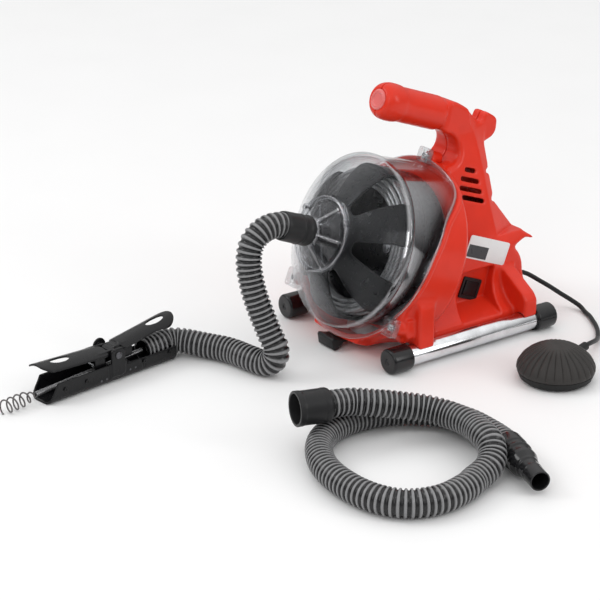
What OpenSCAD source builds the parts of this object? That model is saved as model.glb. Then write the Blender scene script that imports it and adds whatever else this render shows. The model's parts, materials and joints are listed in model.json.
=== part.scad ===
// Compact drain snake machine: a motor-driven drum of cable behind a clear shield, with a guide
// hose to a two-lever feed device, a pneumatic foot pedal and a spare front guide hose.
// The machine stands on two tube legs. X is across the legs, -Y is the nose side, Z is up.

/* [Placement] */
// Machine centre between the legs, across
machine_x = -80; // [-90:1:-70]
// Machine centre between the legs, front to back
machine_y = 213; // [205:1:220]
// Rear end of the feed device, across
feed_x = -175; // [-178:1:-172]
// Rear end of the feed device, front to back
feed_y = -106; // [-109:1:-103]
// Heading of the feed device, degrees from +X
feed_heading = -82; // [-84:1:-80]
// Foot pedal centre, across
pedal_x = 156; // [150:1:160]
// Foot pedal centre, front to back
pedal_y = 239; // [235:1:243]

/* [Legs] */
// Distance between the leg tube centres
leg_spread = 216.6; // [214:0.2:219]
// Overall leg length over the end caps
leg_length = 264; // [256:2:280]
// Leg tube radius
tube_r = 12.7; // [12.5:0.05:12.75]
// Leg end cap radius
cap_r = 16; // [15:0.5:17]
// Leg end cap length
cap_length = 30.5; // [26:0.5:34]

/* [Drum and shield] */
// Height of the shield front ring centre
axis_z = 136.5; // [135:0.5:138]
// Front-to-back place of the shield front ring centre
axis_y = -109; // [-111:0.5:-107]
// How far the drum axis points up at the nose, degrees
nose_up = 21.5; // [20.5:0.5:22.5]
// Radius of the shield front ring
ring_r = 110.5; // [109:0.5:112]
// Radius of the red drum shroud
shroud_r = 120; // [119:0.5:121]
// Drum radius
drum_r = 98; // [94:1:101]
// Number of windows in the drum front
drum_windows = 6; // [5:1:8]

/* [Body] */
// Half width of the motor box
box_half = 69; // [67:0.5:71]
// Rear face of the motor box, from the machine centre
box_rear = 119; // [117:0.5:122]
// Radius of the handle grip
grip_r = 20.5; // [19:0.5:21]
// How far the grip rises to the front, degrees
grip_rise = 20; // [18:0.5:22]

/* [Hoses] */
// Outer radius of the corrugated hoses
hose_r = 15.8; // [15.5:0.1:15.9]
// Outer radius of the pedal air hose
air_r = 3; // [2.5:0.1:3]
// Radius of the drain cable
cable_r = 3.175; // [3:0.025:3.2]

/* [Feed device] */
// Length of the feed body
feed_length = 198; // [195:1:202]
// Half width of the feed body
feed_half = 19; // [18.6:0.1:19.4]
// Pivot pin distance from the rear end
pivot_x = 92; // [91:0.5:93]
// Pivot pin height
pivot_z = 35; // [34.5:0.5:36]

/* [Foot pedal] */
// Pedal radius
pedal_r = 48; // [45:0.5:50]
// Pedal height
pedal_h = 45; // [42:0.5:48]

/* [Hidden] */
$fn = 64;

leg_x = leg_spread / 2;
leg_z = cap_r;
wall = 3;
gap = 0.2;
fit = 0.05;
shield_r = 116.5;
back_wall = -90;
shaft_r = 7.5;
bearing_r = 16;
pulley_front = -103;
pulley_back = -114;
motor_up = 62;
motor_r = 26;
belt_big = 31.4;
belt_small = 8.4;
saddle_front = [-91, -66];
saddle_rear = [80, 101];
switch_y = -20.5;
switch_z = -165;
plate_y = 33.4;
plate_z = -165;
lug_places = [[0, 124], [101, -79], [-101, -79]];

// The parting line between the clear shield and the red shroud, as [up, forward] points
parting = [[140, -82], [92, -82], [60, -50], [15, -33], [-20, -28], [-60, -23], [-140, -22]];

// Centre lines of the free hoses, in millimetres
guide_route = [[-80, 16, 171], [-80, 8, 174], [-80, 0, 177.5], [-80, -10, 179.5],
    [-80, -22, 178], [-80, -33, 173], [-80, -42, 164], [-79, -47, 152], [-77, -49, 138],
    [-73, -49, 122], [-68, -48, 106], [-62, -45, 88], [-55, -41, 69], [-48, -38, 54],
    [-42, -35, 41], [-41, -35, 29], [-47, -38, 20], [-58, -42, 16], [-73, -46, 16],
    [-88, -49, 16], [-105, -52, 16], [-122, -58, 16], [-138, -67, 16], [-151, -76, 17],
    [-163, -85, 18], [-172, -95, 19], [-175.3, -107, 19.5], [-173.5, -117, 19.5],
    [-172, -126, 19.5], [-170.8, -136, 19.5], [-169.5, -145, 19.5]];
front_route = [[141, -111, 53], [145, -93, 52.5], [147, -79, 51.5], [150, -65, 50],
    [156, -53, 48.5], [163, -39, 46], [169, -24, 43], [179, -5, 39], [190, 11, 36],
    [205, 22, 33.5], [221, 27, 33], [240, 28, 34], [258, 26, 34], [279, 20, 35],
    [294, 16, 33.5], [303, 11, 29.5], [310, 5, 25], [317, -5, 21], [321, -17, 18],
    [326, -34, 16.2], [333, -52, 16], [338, -87, 16], [328, -119, 16], [305, -140, 16],
    [268, -150, 16], [222, -148, 16], [184, -134, 16], [153, -109, 16], [136, -75, 16],
    [132, -39, 16], [141, -2, 16], [161, 25, 16], [184, 45, 16], [214, 55, 16],
    [245, 56, 16], [266, 54, 16.5], [283, 50, 17.4], [300, 44.3, 17.5]];
air_route = [[-28, 332.5, 56], [-28, 342, 56], [-27, 350, 53], [-24, 357, 49],
    [-18, 365, 43], [-9, 377, 34], [-3, 391, 23], [4, 404, 13], [14, 411, 6.5],
    [29, 407, 3.6], [43, 402, 3.2], [56, 395, 3.2], [70, 387, 3.2], [84, 377, 3.2],
    [95, 367, 4], [104, 358, 5], [112, 348, 8], [119, 337, 11], [125, 326, 14],
    [130, 315, 16], [133, 306, 16]];

// Steps of smooth curve drawn between two route points
route_steps = 2;
// Sides of the plain hose tubes
hose_sides = 10;

red = [0.86, 0.16, 0.11];
black = [0.07, 0.07, 0.08];
clear = [0.85, 0.87, 0.9, 0.3];
zinc = [0.78, 0.79, 0.8];
grey = [0.25, 0.25, 0.26];

// ---- Frames -------------------------------------------------------------

module machine() {
    translate([machine_x, machine_y, 0]) children();
}

// Drum axis: origin at the shield front ring, +Z forward along the nose, +Y up, X across
module axis_frame() {
    machine() translate([0, axis_y, axis_z]) rotate([90 - nose_up, 0, 0]) children();
}

// Grip axis: origin near the front of the grip, +Z forward along it
module grip_frame() {
    translate([0, -58, 306]) rotate([90 - grip_rise, 0, 0]) children();
}

// Feed device: +X towards its front, +Y its near side, Z up
module feed_frame() {
    translate([feed_x, feed_y, 0]) rotate([0, 0, feed_heading]) children();
}

// Cable line in the feed device: +Z forward along the cable, falling a little to the floor
module lead_frame() {
    feed_frame() translate([40, 0, 19.5]) rotate([0, 90 + 2.8, 0]) children();
}

module pedal_frame() {
    translate([pedal_x, pedal_y, 0]) children();
}

// ---- Shared shapes ------------------------------------------------------

// Extrudes a [Y, Z] outline along X, centred
module side_extrude(points, width) {
    rotate([90, 0, 90]) translate([0, 0, -width / 2]) linear_extrude(width) polygon(points);
}

// Extrudes an [X, Z] outline along Y from y0 to y1
module front_extrude(points, y0, y1) {
    translate([0, y1, 0]) rotate([90, 0, 0]) linear_extrude(y1 - y0) polygon(points);
}

module both_sides() {
    children();
    mirror([1, 0, 0]) children();
}

module ring(outer, inner, height) {
    difference() {
        cylinder(r = outer, h = height);
        translate([0, 0, -1]) cylinder(r = inner, h = height + 2);
    }
}

module rounded_plate(size, radius, height) {
    linear_extrude(height) union() {
        square([size[0] - 2 * radius, size[1]], center = true);
        square([size[0], size[1] - 2 * radius], center = true);
        for (sx = [-1, 1], sy = [-1, 1])
            translate([sx * (size[0] / 2 - radius), sy * (size[1] / 2 - radius)])
                circle(r = radius);
    }
}

// Everything in front of the parting line, moved forward by shift
module front_of_parting(shift) {
    side_extrude(concat([for (p = parting) [p[0], p[1] + shift]], [[-140, 90], [140, 90]]), 300);
}

// A point on a smooth curve through the route, s counted in route points
function route_at(route, s) =
    let (last = len(route) - 1, i = min(floor(s), last - 1), t = s - i,
        a = route[max(i - 1, 0)], b = route[i], c = route[i + 1], d = route[min(i + 2, last)])
    0.5 * (2 * b + (c - a) * t + (2 * a - 5 * b + 4 * c - d) * t * t
        + (3 * b - a - 3 * c + d) * t * t * t);

function unit(v) = v / norm(v);

// A side direction carried along the curve without twist
function side_of(tangent, before) = unit(before - (before * tangent) * tangent);

function sides_along(tangents, i, before) = i == len(tangents) ? [] :
    let (side = side_of(tangents[i], before))
    concat([side], sides_along(tangents, i + 1, side));

// A closed tube swept along a smooth curve through the route
module tube(route, radius, sides, steps) {
    count = (len(route) - 1) * steps;
    centres = [for (i = [0 : count]) route_at(route, i / steps)];
    tangents = [for (i = [0 : count])
        unit(centres[min(i + 1, count)] - centres[max(i - 1, 0)])];
    first = abs(tangents[0][0]) < 0.9 ? [1, 0, 0] : [0, 1, 0];
    across = sides_along(tangents, 0, first);
    points = [for (i = [0 : count], k = [0 : sides - 1])
        let (angle = 360 * k / sides, up = cross(tangents[i], across[i]))
        centres[i] + radius * (cos(angle) * across[i] + sin(angle) * up)];
    faces = concat(
        [for (i = [0 : count - 1], k = [0 : sides - 1])
            let (a = i * sides + k, b = i * sides + (k + 1) % sides)
            [a, b, b + sides, a + sides]],
        [[for (k = [sides - 1 : -1 : 0]) k]],
        [[for (k = [0 : sides - 1]) count * sides + k]]);
    polyhedron(points = points, faces = [for (f = faces) [for (k = [len(f) - 1 : -1 : 0]) f[k]]]);
}

// ---- Red body -----------------------------------------------------------

// Back wall, shroud and the clearance shape inside it, about the drum axis
module shroud_cup() {
    rotate_extrude() polygon([[shroud_r - 4, -20], [shroud_r - 1.2, -20], [shroud_r, -60],
        [shroud_r, back_wall + 6], [shroud_r - 4, back_wall], [bearing_r + 8, back_wall],
        [bearing_r + 7, back_wall - 10], [bearing_r + fit, back_wall - 10],
        [bearing_r + fit, back_wall + 4], [shroud_r - 4, back_wall + 4]]);
}

module cup_space() {
    translate([0, 0, back_wall + 4]) cylinder(r = shroud_r - 4 + gap / 2, h = 200);
}

// Tube bores and screw holes shared by the leg saddles
module leg_holes() {
    both_sides() {
        translate([leg_x, 0, leg_z]) rotate([90, 0, 0])
            cylinder(r = tube_r + fit, h = 400, center = true);
        for (y = leg_screw_places) translate([leg_x, y, leg_z]) cylinder(r = 2.6, h = 30);
    }
}
leg_screw_places = [-78.5, 91];

module drum_housing() {
    color(red) difference() {
        union() {
            axis_frame() difference() {
                shroud_cup();
                front_of_parting(0);
            }
            machine() difference() {
                union() {
                    both_sides() front_extrude([[62, 20], [62, 110], [97, 96], [112, 88],
                        [118, 78], [118, 16], [98, 16], [96, 28]],
                        saddle_front[0], saddle_front[1]);
                    both_sides() front_extrude([[30, 9], [30, 70], [104, 70], [104, 32.6],
                        [84, 34], [62, 24], [40, 9]], -108, saddle_front[0]);
                    side_extrude([[-132, 17], [-114, 9], [-62, 9], [-62, 30], [-132, 30]], 90);
                }
                translate([-machine_x, -machine_y, 0]) axis_frame() union() {
                    cup_space();
                    front_of_parting(0);
                    translate([0, 0, back_wall - 40]) cylinder(r = 200, h = 40);
                }
            }
        }
        machine() union() {
            leg_holes();
            translate([-200, -200, -60]) cube([400, 400, 69]);
        }
        axis_frame() for (p = lug_places)
            translate([p[0], p[1], -120]) cylinder(r = 2.1, h = 120);
        axis_frame() translate([0, 0, back_wall - 20]) cylinder(r = shaft_r + 1, h = 30);
    }
    color(red) axis_frame() difference() {
        for (p = lug_places) lug_boss(p);
        for (p = lug_places) translate([p[0], p[1], -120]) cylinder(r = 2.1, h = 120);
        cup_space();
    }
}

// A round boss behind each shield lug
module lug_boss(p) {
    back = p[0] == 0 ? -100 : -50;
    front = p[0] == 0 ? -82.2 : -23;
    translate([p[0], p[1], back]) cylinder(r = 8, h = front - back);
}

// Side outline of the motor box, tower and handle neck, as [Y, Z]; rim shrinks it
tower_side = [[-62, 9], [18, 213], [30, 214], [37, 224], [36, 236], [30, 246], [14, 257],
    [32, 297], [45, 290], [60, 279], [80, 257], [86, 252], [88, 246], [88, 200], [82, 198],
    [82, 195], [88, 193], [88, 167], [83, 164], [83, 160], [88, 159], [125, 116],
    [137, 108], [136, 105], [124, 109], [104, 101], [113, 92], [119, 78], [119, 9]];
tower_side_space = [[-60, 12], [20, 209], [33, 212], [41, 222], [40, 240], [24, 262],
    [31, 292], [44, 286], [58, 274], [76, 254], [78, 246], [78, 160], [84, 112],
    [102, 97], [111, 89], [116, 77], [116, 12]];
tower_front = [[0, 9], [60, 9], [64, 28], [97, 28], [97, 33], [84, 42], [74, 54],
    [69, 68], [69, 108], [60, 122], [48, 163], [35, 201], [25, 235], [21, 250],
    [20, 330], [0, 330]];
tower_front_space = [[-0.5, 12], [57, 12], [61, 31], [66, 62], [66, 107], [57, 121],
    [45, 162], [32, 200], [22, 234], [17, 250], [16, 330], [-0.5, 330]];

module grip_shape(shrink) {
    grip_frame() rotate_extrude() polygon([[0, -88], [grip_r - shrink, -88],
        [grip_r - shrink, -26], [23.6 - shrink, -14], [23.8 - shrink, 2], [21.5 - shrink, 11],
        [15 - shrink / 2, 16.5 - shrink], [0, 16.5 - shrink]]);
}

module nub() {
    side_extrude([[78, 246], [95, 269], [99, 271], [117, 262], [121, 256], [119, 240],
        [112, 232], [88, 226], [78, 226]], 26);
}

// Half of the motor housing on the +X side
module housing_half(switch_side) {
    difference() {
        housing_shell(switch_side);
        leg_holes();
        translate([-400, -200, -10]) cube([400 + gap / 4, 500, 400]);
        translate([-machine_x, -machine_y, 0]) axis_frame() union() {
            translate([0, 0, back_wall - gap]) cylinder(r = shroud_r + 2, h = 200);
            translate([0, 0, back_wall - 14]) cylinder(r = bearing_r + 9, h = 20);
            translate([0, lug_places[0][1], -100 - gap]) cylinder(r = 8 + gap, h = 30);
            if (switch_side) {
                translate([box_half - 20, switch_y, switch_z]) rotate([0, 90, 0])
                    rounded_plate([27 + gap, 24 + gap], 1, 30);
                translate([box_half - 0.6, plate_y, plate_z]) rotate([0, 90, 0])
                    rounded_plate([70 + gap, 30 + gap], 3, 10);
            }
        }
        if (switch_side)
            translate([box_half - 9.9 + 50, 0, 0]) side_extrude(pocket_outline(0), 100);
        for (i = [0 : 3]) vent_slot(i);
        for (p = housing_screw_places) translate([-1, p[0], p[1]]) rotate([0, 90, 0])
            cylinder(r = 2.1, h = 13);
    }
}
housing_screw_places = [[60, 235], [108, 80], [108, 30], [20, 190]];

// Outline of the recess round the switch, as [Y, Z], grown by rim
function pocket_outline(rim) = [[-8 - rim, 24 - rim], [56 + rim, 24 - rim],
    [70 + rim, 84 + rim], [16 - rim, 84 + rim]];

// The hollow body of one half before its openings are cut
module housing_shell(switch_side) {
    difference() {
        union() {
            intersection() {
                side_extrude(tower_side, 300);
                front_extrude(tower_front, -90, 160);
            }
            grip_shape(0);
            nub();
            front_extrude([[66, 40], [66, 82], [69, 80], [112, 55], [118, 47], [118, 16],
                [98, 16], [90, 26]], saddle_rear[0], saddle_rear[1]);
        }
        intersection() {
            side_extrude(tower_side_space, 300);
            front_extrude(tower_front_space, -90, 160);
        }
        difference() {
            grip_shape(wall);
            translate([-50, 36, 200]) cube(100);
        }
        grip_frame() translate([0, 0, 14.7]) cylinder(r = 11 + gap / 2, h = 10);
    }
    intersection() {
        for (p = housing_screw_places) translate([0, p[0], p[1]]) rotate([0, 90, 0])
            cylinder(r = 4.5, h = 68);
        side_extrude(tower_side, 300);
        front_extrude(tower_front, -90, 160);
    }
    if (switch_side) intersection() {
        translate([box_half - 12.9 + 6.4, 0, 0]) side_extrude(pocket_outline(3), 12.8);
        side_extrude(tower_side, 300);
    }
}

// Centre and length of each cooling slot along the tower side, from the top one down
vent_centre = [54, 52, 50, 51];
vent_length = [16, 24, 31, 31];

// One of the cooling slots in the tower side
module vent_slot(i) {
    translate([10, vent_centre[i], 204 - 11.5 * i]) rotate([-19, 0, 0])
        translate([0, -vent_length[i] / 2, -2.4]) cube([80, vent_length[i], 4.8]);
}

module motor_housing_right() {
    color(red) machine() housing_half_right();
}

module housing_half_right() {
    difference() {
        housing_half(true);
        translate([52, box_rear - 10, 56]) rotate([-90, 0, 0]) cylinder(r = 5 + fit, h = 20);
    }
}

module motor_housing_left() {
    color(red) machine() mirror([1, 0, 0]) difference() {
        housing_half(false);
        translate([40, box_rear - 10, 30]) rotate([-90, 0, 0]) cylinder(r = 7 + fit, h = 20);
    }
}

module handle_end_cap() {
    color(red) machine() grip_frame() translate([0, 0, 14.8]) union() {
        cylinder(r = 11, h = 1.6);
        translate([0, 0, 1.6]) cylinder(r1 = 11, r2 = 9, h = 1.6);
    }
}

module base_plate() {
    color(black) machine() difference() {
        translate([-59, -40, 6]) cube([118, 156, 2.8]);
        for (x = [-44, 44], y = [-30, 98]) translate([x, y, 0]) cylinder(r = 2.2, h = 20);
        for (y = [-10 : 12 : 62]) translate([-25, y, 0]) cube([50, 4, 20]);
    }
}

module front_foot() {
    color(black) machine() side_extrude([[-147, 15], [-145, 17.5], [-134, 14], [-121, 11.5],
        [-119.5, 8.8], [-129, 8.8], [-137, 1.5], [-142, 0.5], [-145, 2]], 32);
}

// ---- Clear shield -------------------------------------------------------

module shield() {
    color(clear) axis_frame() difference() {
        union() {
            intersection() {
                rotate_extrude() polygon([[43, 46.5], [50, 45.5], [107, 4], [ring_r, 1],
                    [ring_r, -4], [108.8, -6], [shield_r - 1, -100], [shield_r - 4, -100],
                    [105.8, -6], [105.8, 0], [48, 42.5], [43, 43.5]]);
                front_of_parting(gap);
            }
            intersection() {
                translate([0, 0, -100]) ring(121, 109.5, 110);
                front_of_parting(gap);
                difference() {
                    translate([-200, -200, -150]) cube(400);
                    front_of_parting(3);
                }
            }
            translate([-9, 112, -81.8]) cube([18, 22, 4]);
            both_sides() translate([88, -92, -22.6]) cube([24, 26, 4]);
        }
        for (p = lug_places) translate([p[0], p[1], -90]) cylinder(r = 2.1, h = 100);
        translate([0, 0, -100]) cylinder(r = 105.5, h = 90);
        hub_screw_places(40) cylinder(r = 1.3, h = 30);
    }
}

module nose_hub() {
    color(clear) axis_frame() difference() {
        union() {
            rotate_extrude() polygon([[43 - gap, 43.5], [43 - gap, 46.8], [47.8, 46.8],
                [47.8, 50.5], [42, 51.5], [30, 60], [18, 66], [15.5, 68], [15.5, 91], [13, 91],
                [13, 64], [28, 56.5], [38, 49], [38, 43.5]]);
            for (a = [0 : 5]) rotate([0, 0, 60 * a]) translate([14, -1, 47])
                cube([25, 2, 8]);
        }
        hub_screw_places(40) cylinder(r = 1.3, h = 30);
        hub_screw_places(49) cylinder(r = 2.2, h = 30);
        translate([0, 0, 30]) cylinder(r = 13, h = 60);
    }
}

// Three places round the hub's flange at a given height
module hub_screw_places(height) {
    for (a = [0 : 2]) rotate([0, 0, 120 * a + 30]) translate([45.3, 0, height]) children();
}

module hub_screws() {
    color(zinc) axis_frame() hub_screw_places(44.6) union() {
        cylinder(r = 1.2, h = 4.4);
        translate([0, 0, 4.4]) cylinder(r = 2, h = 1.2);
    }
}

module shield_screws() {
    color(zinc) axis_frame() for (p = lug_places) {
        seat = p[0] == 0 ? -77.7 : -18.5;
        translate([p[0], p[1], seat - 16]) cylinder(r = 2, h = 16);
        translate([p[0], p[1], seat]) difference() {
            cylinder(r = 4.2, h = 3);
            translate([0, 0, 1.4]) cylinder(r = 2, h = 3, $fn = 6);
        }
    }
}

// ---- Legs ---------------------------------------------------------------

module leg_tube(side) {
    color(zinc) machine() translate([side * leg_x, 0, leg_z]) difference() {
        rotate([90, 0, 0]) difference() {
            cylinder(r = tube_r, h = leg_length - 8, center = true);
            cylinder(r = tube_r - 1.6, h = leg_length, center = true);
        }
        for (y = leg_screw_places) {
            translate([0, y, 0]) cylinder(r = 2.6, h = 30);
            translate([0, y, -30]) cylinder(r = 5, h = 30);
        }
    }
}

module leg_tube_right() leg_tube(1);
module leg_tube_left() leg_tube(-1);

// A push-on end cap; end is -1 at the nose and +1 at the rear
module leg_cap(side, end) {
    color(black) machine() translate([side * leg_x, end * leg_length / 2, leg_z])
        rotate([90 * end, 0, 0]) difference() {
            union() {
                translate([0, 0, 1.5]) cylinder(r = cap_r, h = cap_length - 1.5);
                cylinder(r1 = cap_r - 1.5, r2 = cap_r, h = 1.5);
            }
            translate([0, 0, 4]) cylinder(r = tube_r + fit, h = cap_length);
            translate([0, 0, -1]) cylinder(r = 1.4, h = 2.5);
        }
}

module leg_cap_front_right() leg_cap(1, -1);
module leg_cap_front_left() leg_cap(-1, -1);
module leg_cap_rear_right() leg_cap(1, 1);
module leg_cap_rear_left() leg_cap(-1, 1);

module leg_screws() {
    color(zinc) machine() both_sides() for (y = leg_screw_places)
        translate([leg_x, y, leg_z + 7]) union() {
            cylinder(r = 4.3, h = 2.6);
            cylinder(r = 2.5, h = 18);
        }
}

// ---- Switch, plate and fittings ----------------------------------------

module switch_bezel() {
    color(black) axis_frame() translate([box_half - 9.9, switch_y, switch_z])
        rotate([0, 90, 0]) difference() {
            union() {
                rounded_plate([31, 28], 2, 2);
                translate([0, 0, -14]) rounded_plate([27, 24], 1, 14);
            }
            translate([0, 0, -9]) rounded_plate([24.4, 19.4], 0.5, 20);
        }
}

// The rocker turns about the axis frame's Y through its own centre
module rocker_switch() {
    color(black) axis_frame() translate([box_half - 9.9, switch_y, switch_z])
        rotate([90, 0, 0]) difference() {
            translate([0, 0, -9.4]) linear_extrude(18.8) polygon([[-7, -8], [-7, 8],
                [0.6, 11], [2.6, 10.6], [1.2, 0], [2.6, -10.6], [0.6, -11]]);
            translate([-4, 0, -12]) cylinder(r = 1, h = 24);
        }
}

module rating_plate() {
    color([0.9, 0.9, 0.9]) axis_frame() translate([box_half - 0.55, plate_y, plate_z])
        rotate([0, 90, 0]) rounded_plate([70, 30], 3, 0.7);
}

module air_fitting() {
    color(black) machine() translate([52, box_rear, 56]) rotate([-90, 0, 0]) difference() {
        union() {
            translate([0, 0, -9]) cylinder(r = 5, h = 9);
            cylinder(r = 7, h = 3);
            translate([0, 0, 3]) cylinder(r1 = 5.5, r2 = 4.3, h = 6);
        }
        cylinder(r = air_r + gap, h = 20);
        translate([0, 0, -20]) cylinder(r = 1.2, h = 30);
    }
}

module air_switch() {
    color(grey) machine() union() {
        translate([26, 78, 40]) cube([28, 22, 28]);
        translate([44, 99, 50]) cube([14, 10.8, 12]);
    }
}

module cord_gland() {
    color(black) machine() translate([-40, box_rear, 30]) rotate([-90, 0, 0]) difference() {
        union() {
            translate([0, 0, -9]) cylinder(r = 7, h = 9);
            cylinder(r = 10, h = 3, $fn = 6);
            translate([0, 0, 3]) cylinder(r1 = 8, r2 = 6, h = 14);
        }
        translate([0, 0, -10]) cylinder(r = 4, h = 40);
    }
}

module housing_screws() {
    color(zinc) machine() for (p = housing_screw_places)
        translate([0, p[0], p[1]]) rotate([0, 90, 0])
            cylinder(r = 2, h = 22, center = true);
}

// ---- Drum and drive -----------------------------------------------------

module bearing(back) {
    color(zinc) axis_frame() translate([0, 0, back]) ring(bearing_r, shaft_r + fit, 9);
}

module front_bearing() bearing(back_wall - 9.5);
module rear_bearing() bearing(-127);

module drum_shaft() {
    color(zinc) axis_frame() translate([0, 0, -128]) cylinder(r = shaft_r, h = 66);
}

// Six places round the inside of the drum wall at a given height
module drum_screw_places(height) {
    for (a = [0 : 5]) rotate([0, 0, 60 * a + 28]) translate([87, 0, height]) children();
}

// A boss with a web out to the drum wall
module drum_screw_boss(height) {
    cylinder(r = 5.4, h = height);
    translate([0, -2.5, 0]) cube([9.5, 5, height]);
}

module drum_window() {
    linear_extrude(100) polygon([[44, -5], [47, -8], [100, -25], [112, -26], [112, 26],
        [100, 25], [47, 8], [44, 5]]);
}

module drum_front() {
    color(black) axis_frame() difference() {
        union() {
            rotate_extrude() polygon([[drum_r, -34], [drum_r, -5], [94, 3], [84, 13],
                [68, 23.5], [50, 31], [34, 35], [16, 37], [11, 40], [11, 58], [8, 58],
                [8, 37], [14, 34], [34, 32], [49, 28], [66, 20.5], [82, 10], [90, 2],
                [drum_r - 3, -6], [drum_r - 3, -34]]);
            drum_screw_places(-33.6) drum_screw_boss(4.6);
        }
        for (a = [0 : drum_windows - 1]) rotate([0, 0, 360 / drum_windows * a - 2])
            translate([0, 0, -28]) drum_window();
        drum_screw_places(-40) cylinder(r = 2.1, h = 20);
    }
}

module drum_back() {
    color(black) axis_frame() difference() {
        union() {
            rotate_extrude() polygon([[drum_r, -34.1], [drum_r, -68], [94, -74],
                [20, -78], [20, -84], [shaft_r + 0.02, -84], [shaft_r + 0.02, -62],
                [20, -62], [20, -74], [92, -70.5], [drum_r - 3, -66], [drum_r - 3, -34.1]]);
            drum_screw_places(-46) drum_screw_boss(11.4);
        }
        drum_screw_places(-60) cylinder(r = 2.1, h = 40);
    }
}

module drum_screws() {
    color(zinc) axis_frame() drum_screw_places(-49.2) union() {
        cylinder(r = 4, h = 3);
        cylinder(r = 2, h = 19);
    }
}

module cable_coil() {
    color(zinc) axis_frame() union() {
        rotate_extrude() polygon([[72, -8], [69, -11], [69, -24], [72, -27], [90, -27],
            [94, -24], [94, -11], [91, -6], [80, -4]]);
        translate([0, 0, 24]) cylinder(r = cable_r, h = 66);
    }
}

module pulley(flange, groove, bore) {
    translate([0, 0, pulley_back]) difference() {
        rotate_extrude() polygon([[bore, 0], [flange, 0], [flange, 1.5], [groove, 2.6],
            [groove, 8.4], [flange, 9.5], [flange, 11], [bore, 11]]);
    }
}

module drum_pulley() {
    color(zinc) axis_frame() pulley(37, 31, shaft_r + 0.02);
}

module motor_plate() {
    color(zinc) axis_frame() translate([0, 0, -127]) difference() {
        linear_extrude(5) polygon([[-65.6, -30], [65.6, -30], [65.6, 14], [54, 30], [45, 60],
            [30, 86], [-30, 86], [-45, 60], [-54, 30], [-65.6, 14]]);
        translate([0, 0, -1]) cylinder(r = bearing_r + fit, h = 10);
        translate([0, motor_up, -1]) cylinder(r = 9, h = 10);
        for (s = [-1, 1]) translate([s * 17, motor_up, -1]) cylinder(r = 2.1, h = 10);
    }
}

module motor() {
    color(grey) axis_frame() translate([0, motor_up, -166]) difference() {
        union() {
            cylinder(r = motor_r, h = 38.9);
            translate([0, 0, 38.9]) cylinder(r = 8.5, h = 4);
            translate([0, 0, -3]) cylinder(r = 9, h = 3);
        }
        translate([0, 0, 20]) cylinder(r = 4 + fit, h = 40);
    }
}

module motor_shaft() {
    color(zinc) axis_frame() translate([0, motor_up, -144]) cylinder(r = 4, h = 42);
}

module motor_pulley() {
    color(zinc) axis_frame() translate([0, motor_up, 0]) pulley(13, 8, 4.02);
}

// Outline of a belt round two pulleys, offset outwards
function belt_outline(off) =
    let (tilt = asin((belt_big - belt_small) / motor_up), big = belt_big + off,
        small = belt_small + off)
    concat([for (i = [0 : 36]) let (a = 180 - tilt + i / 36 * (180 + 2 * tilt))
            [big * cos(a), big * sin(a)]],
        [for (i = [0 : 16]) let (a = tilt + i / 16 * (180 - 2 * tilt))
            [small * cos(a), motor_up + small * sin(a)]]);

module drive_belt() {
    color(black) axis_frame() translate([0, 0, -111]) linear_extrude(5) difference() {
        polygon(belt_outline(3));
        polygon(belt_outline(0));
    }
}

// ---- Guide hose ---------------------------------------------------------

module guide_hose() {
    color(grey) tube(guide_route, hose_r, hose_sides, route_steps);
}

module guide_hose_cuff() {
    color(black) axis_frame() rotate_extrude() polygon([[15.6, 70], [18.6, 70], [18.8, 72],
        [18.3, 108], [17.6, 112], [16.4, 112], [16.4, 93], [15.6, 92]]);
}

// ---- Feed device --------------------------------------------------------

module feed_body() {
    color(black) feed_frame() difference() {
        union() {
            difference() {
                rotate([90, 0, 90]) linear_extrude(feed_length) polygon([[-feed_half, 25],
                    [-feed_half, 7], [-12, 0], [12, 0], [feed_half, 7], [feed_half, 25],
                    [16.6, 25], [16.6, 9], [10, 2.6], [-10, 2.6], [-16.6, 9], [-16.6, 25]]);
                translate([0, -30, 0]) rotate([90, 0, 0]) mirror([0, 0, 1]) linear_extrude(60)
                    polygon([[182, 26], [198.5, -1], [210, -1], [210, 26]]);
                translate([-1, -30, 20]) cube([78, 60, 10]);
            }
            for (s = [-1, 1]) translate([pivot_x - 11, s * (feed_half - 1.2) - 1.2, 20])
                cube([22, 2.4, 14]);
            for (s = [-1, 1]) translate([pivot_x, s * (feed_half - 1.2), pivot_z])
                rotate([90, 0, 0]) cylinder(r = s < 0 ? 9 : 8, h = 2.4, center = true);
            for (s = [-1, 1]) translate([150, s * 17.8 - 1.2, 24.9]) cube([14, 2.4, 1.2]);
        }
        translate([pivot_x, 0, pivot_z]) rotate([90, 0, 0])
            cylinder(r = 3 + fit, h = 80, center = true);
        for (x = roller_places) translate([x, 0, lower_roller_height(x)]) rotate([90, 0, 0])
            cylinder(r = 1.5 + fit, h = 80, center = true);
    }
}
roller_places = [66, 74, 110, 118];

// Height of the cable line above the floor at a place along the feed device
function cable_height(x) = 19.5 - (x - 40) * tan(2.8);

// Height of the lower roller under the cable at that place
function lower_roller_height(x) = cable_height(x) - cable_r - 4.4;

module lever_pin() {
    color(zinc) feed_frame() translate([pivot_x, 0, pivot_z]) rotate([90, 0, 0]) union() {
        cylinder(r = 3, h = 44, center = true);
        translate([0, 0, 19.2]) cylinder(r = 4.5, h = 2.2);
        translate([0, 0, -21.4]) cylinder(r = 4.5, h = 2.2);
    }
}

// Cross-section of a lever plate as [Y, Z], convex, with its crown at height zero
function lever_section(half, drop, thick) =
    concat([for (i = [-6 : 6]) [half * i / 6, -drop * i * i / 36]],
        [for (i = [6 : -1 : -6]) [(half - 1) * i / 6, -drop * i * i / 36 - thick]]);

module lever_plate(length, half, drop) {
    rotate([90, 0, 90]) linear_extrude(length) polygon(lever_section(half, drop, 2.6));
}

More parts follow.
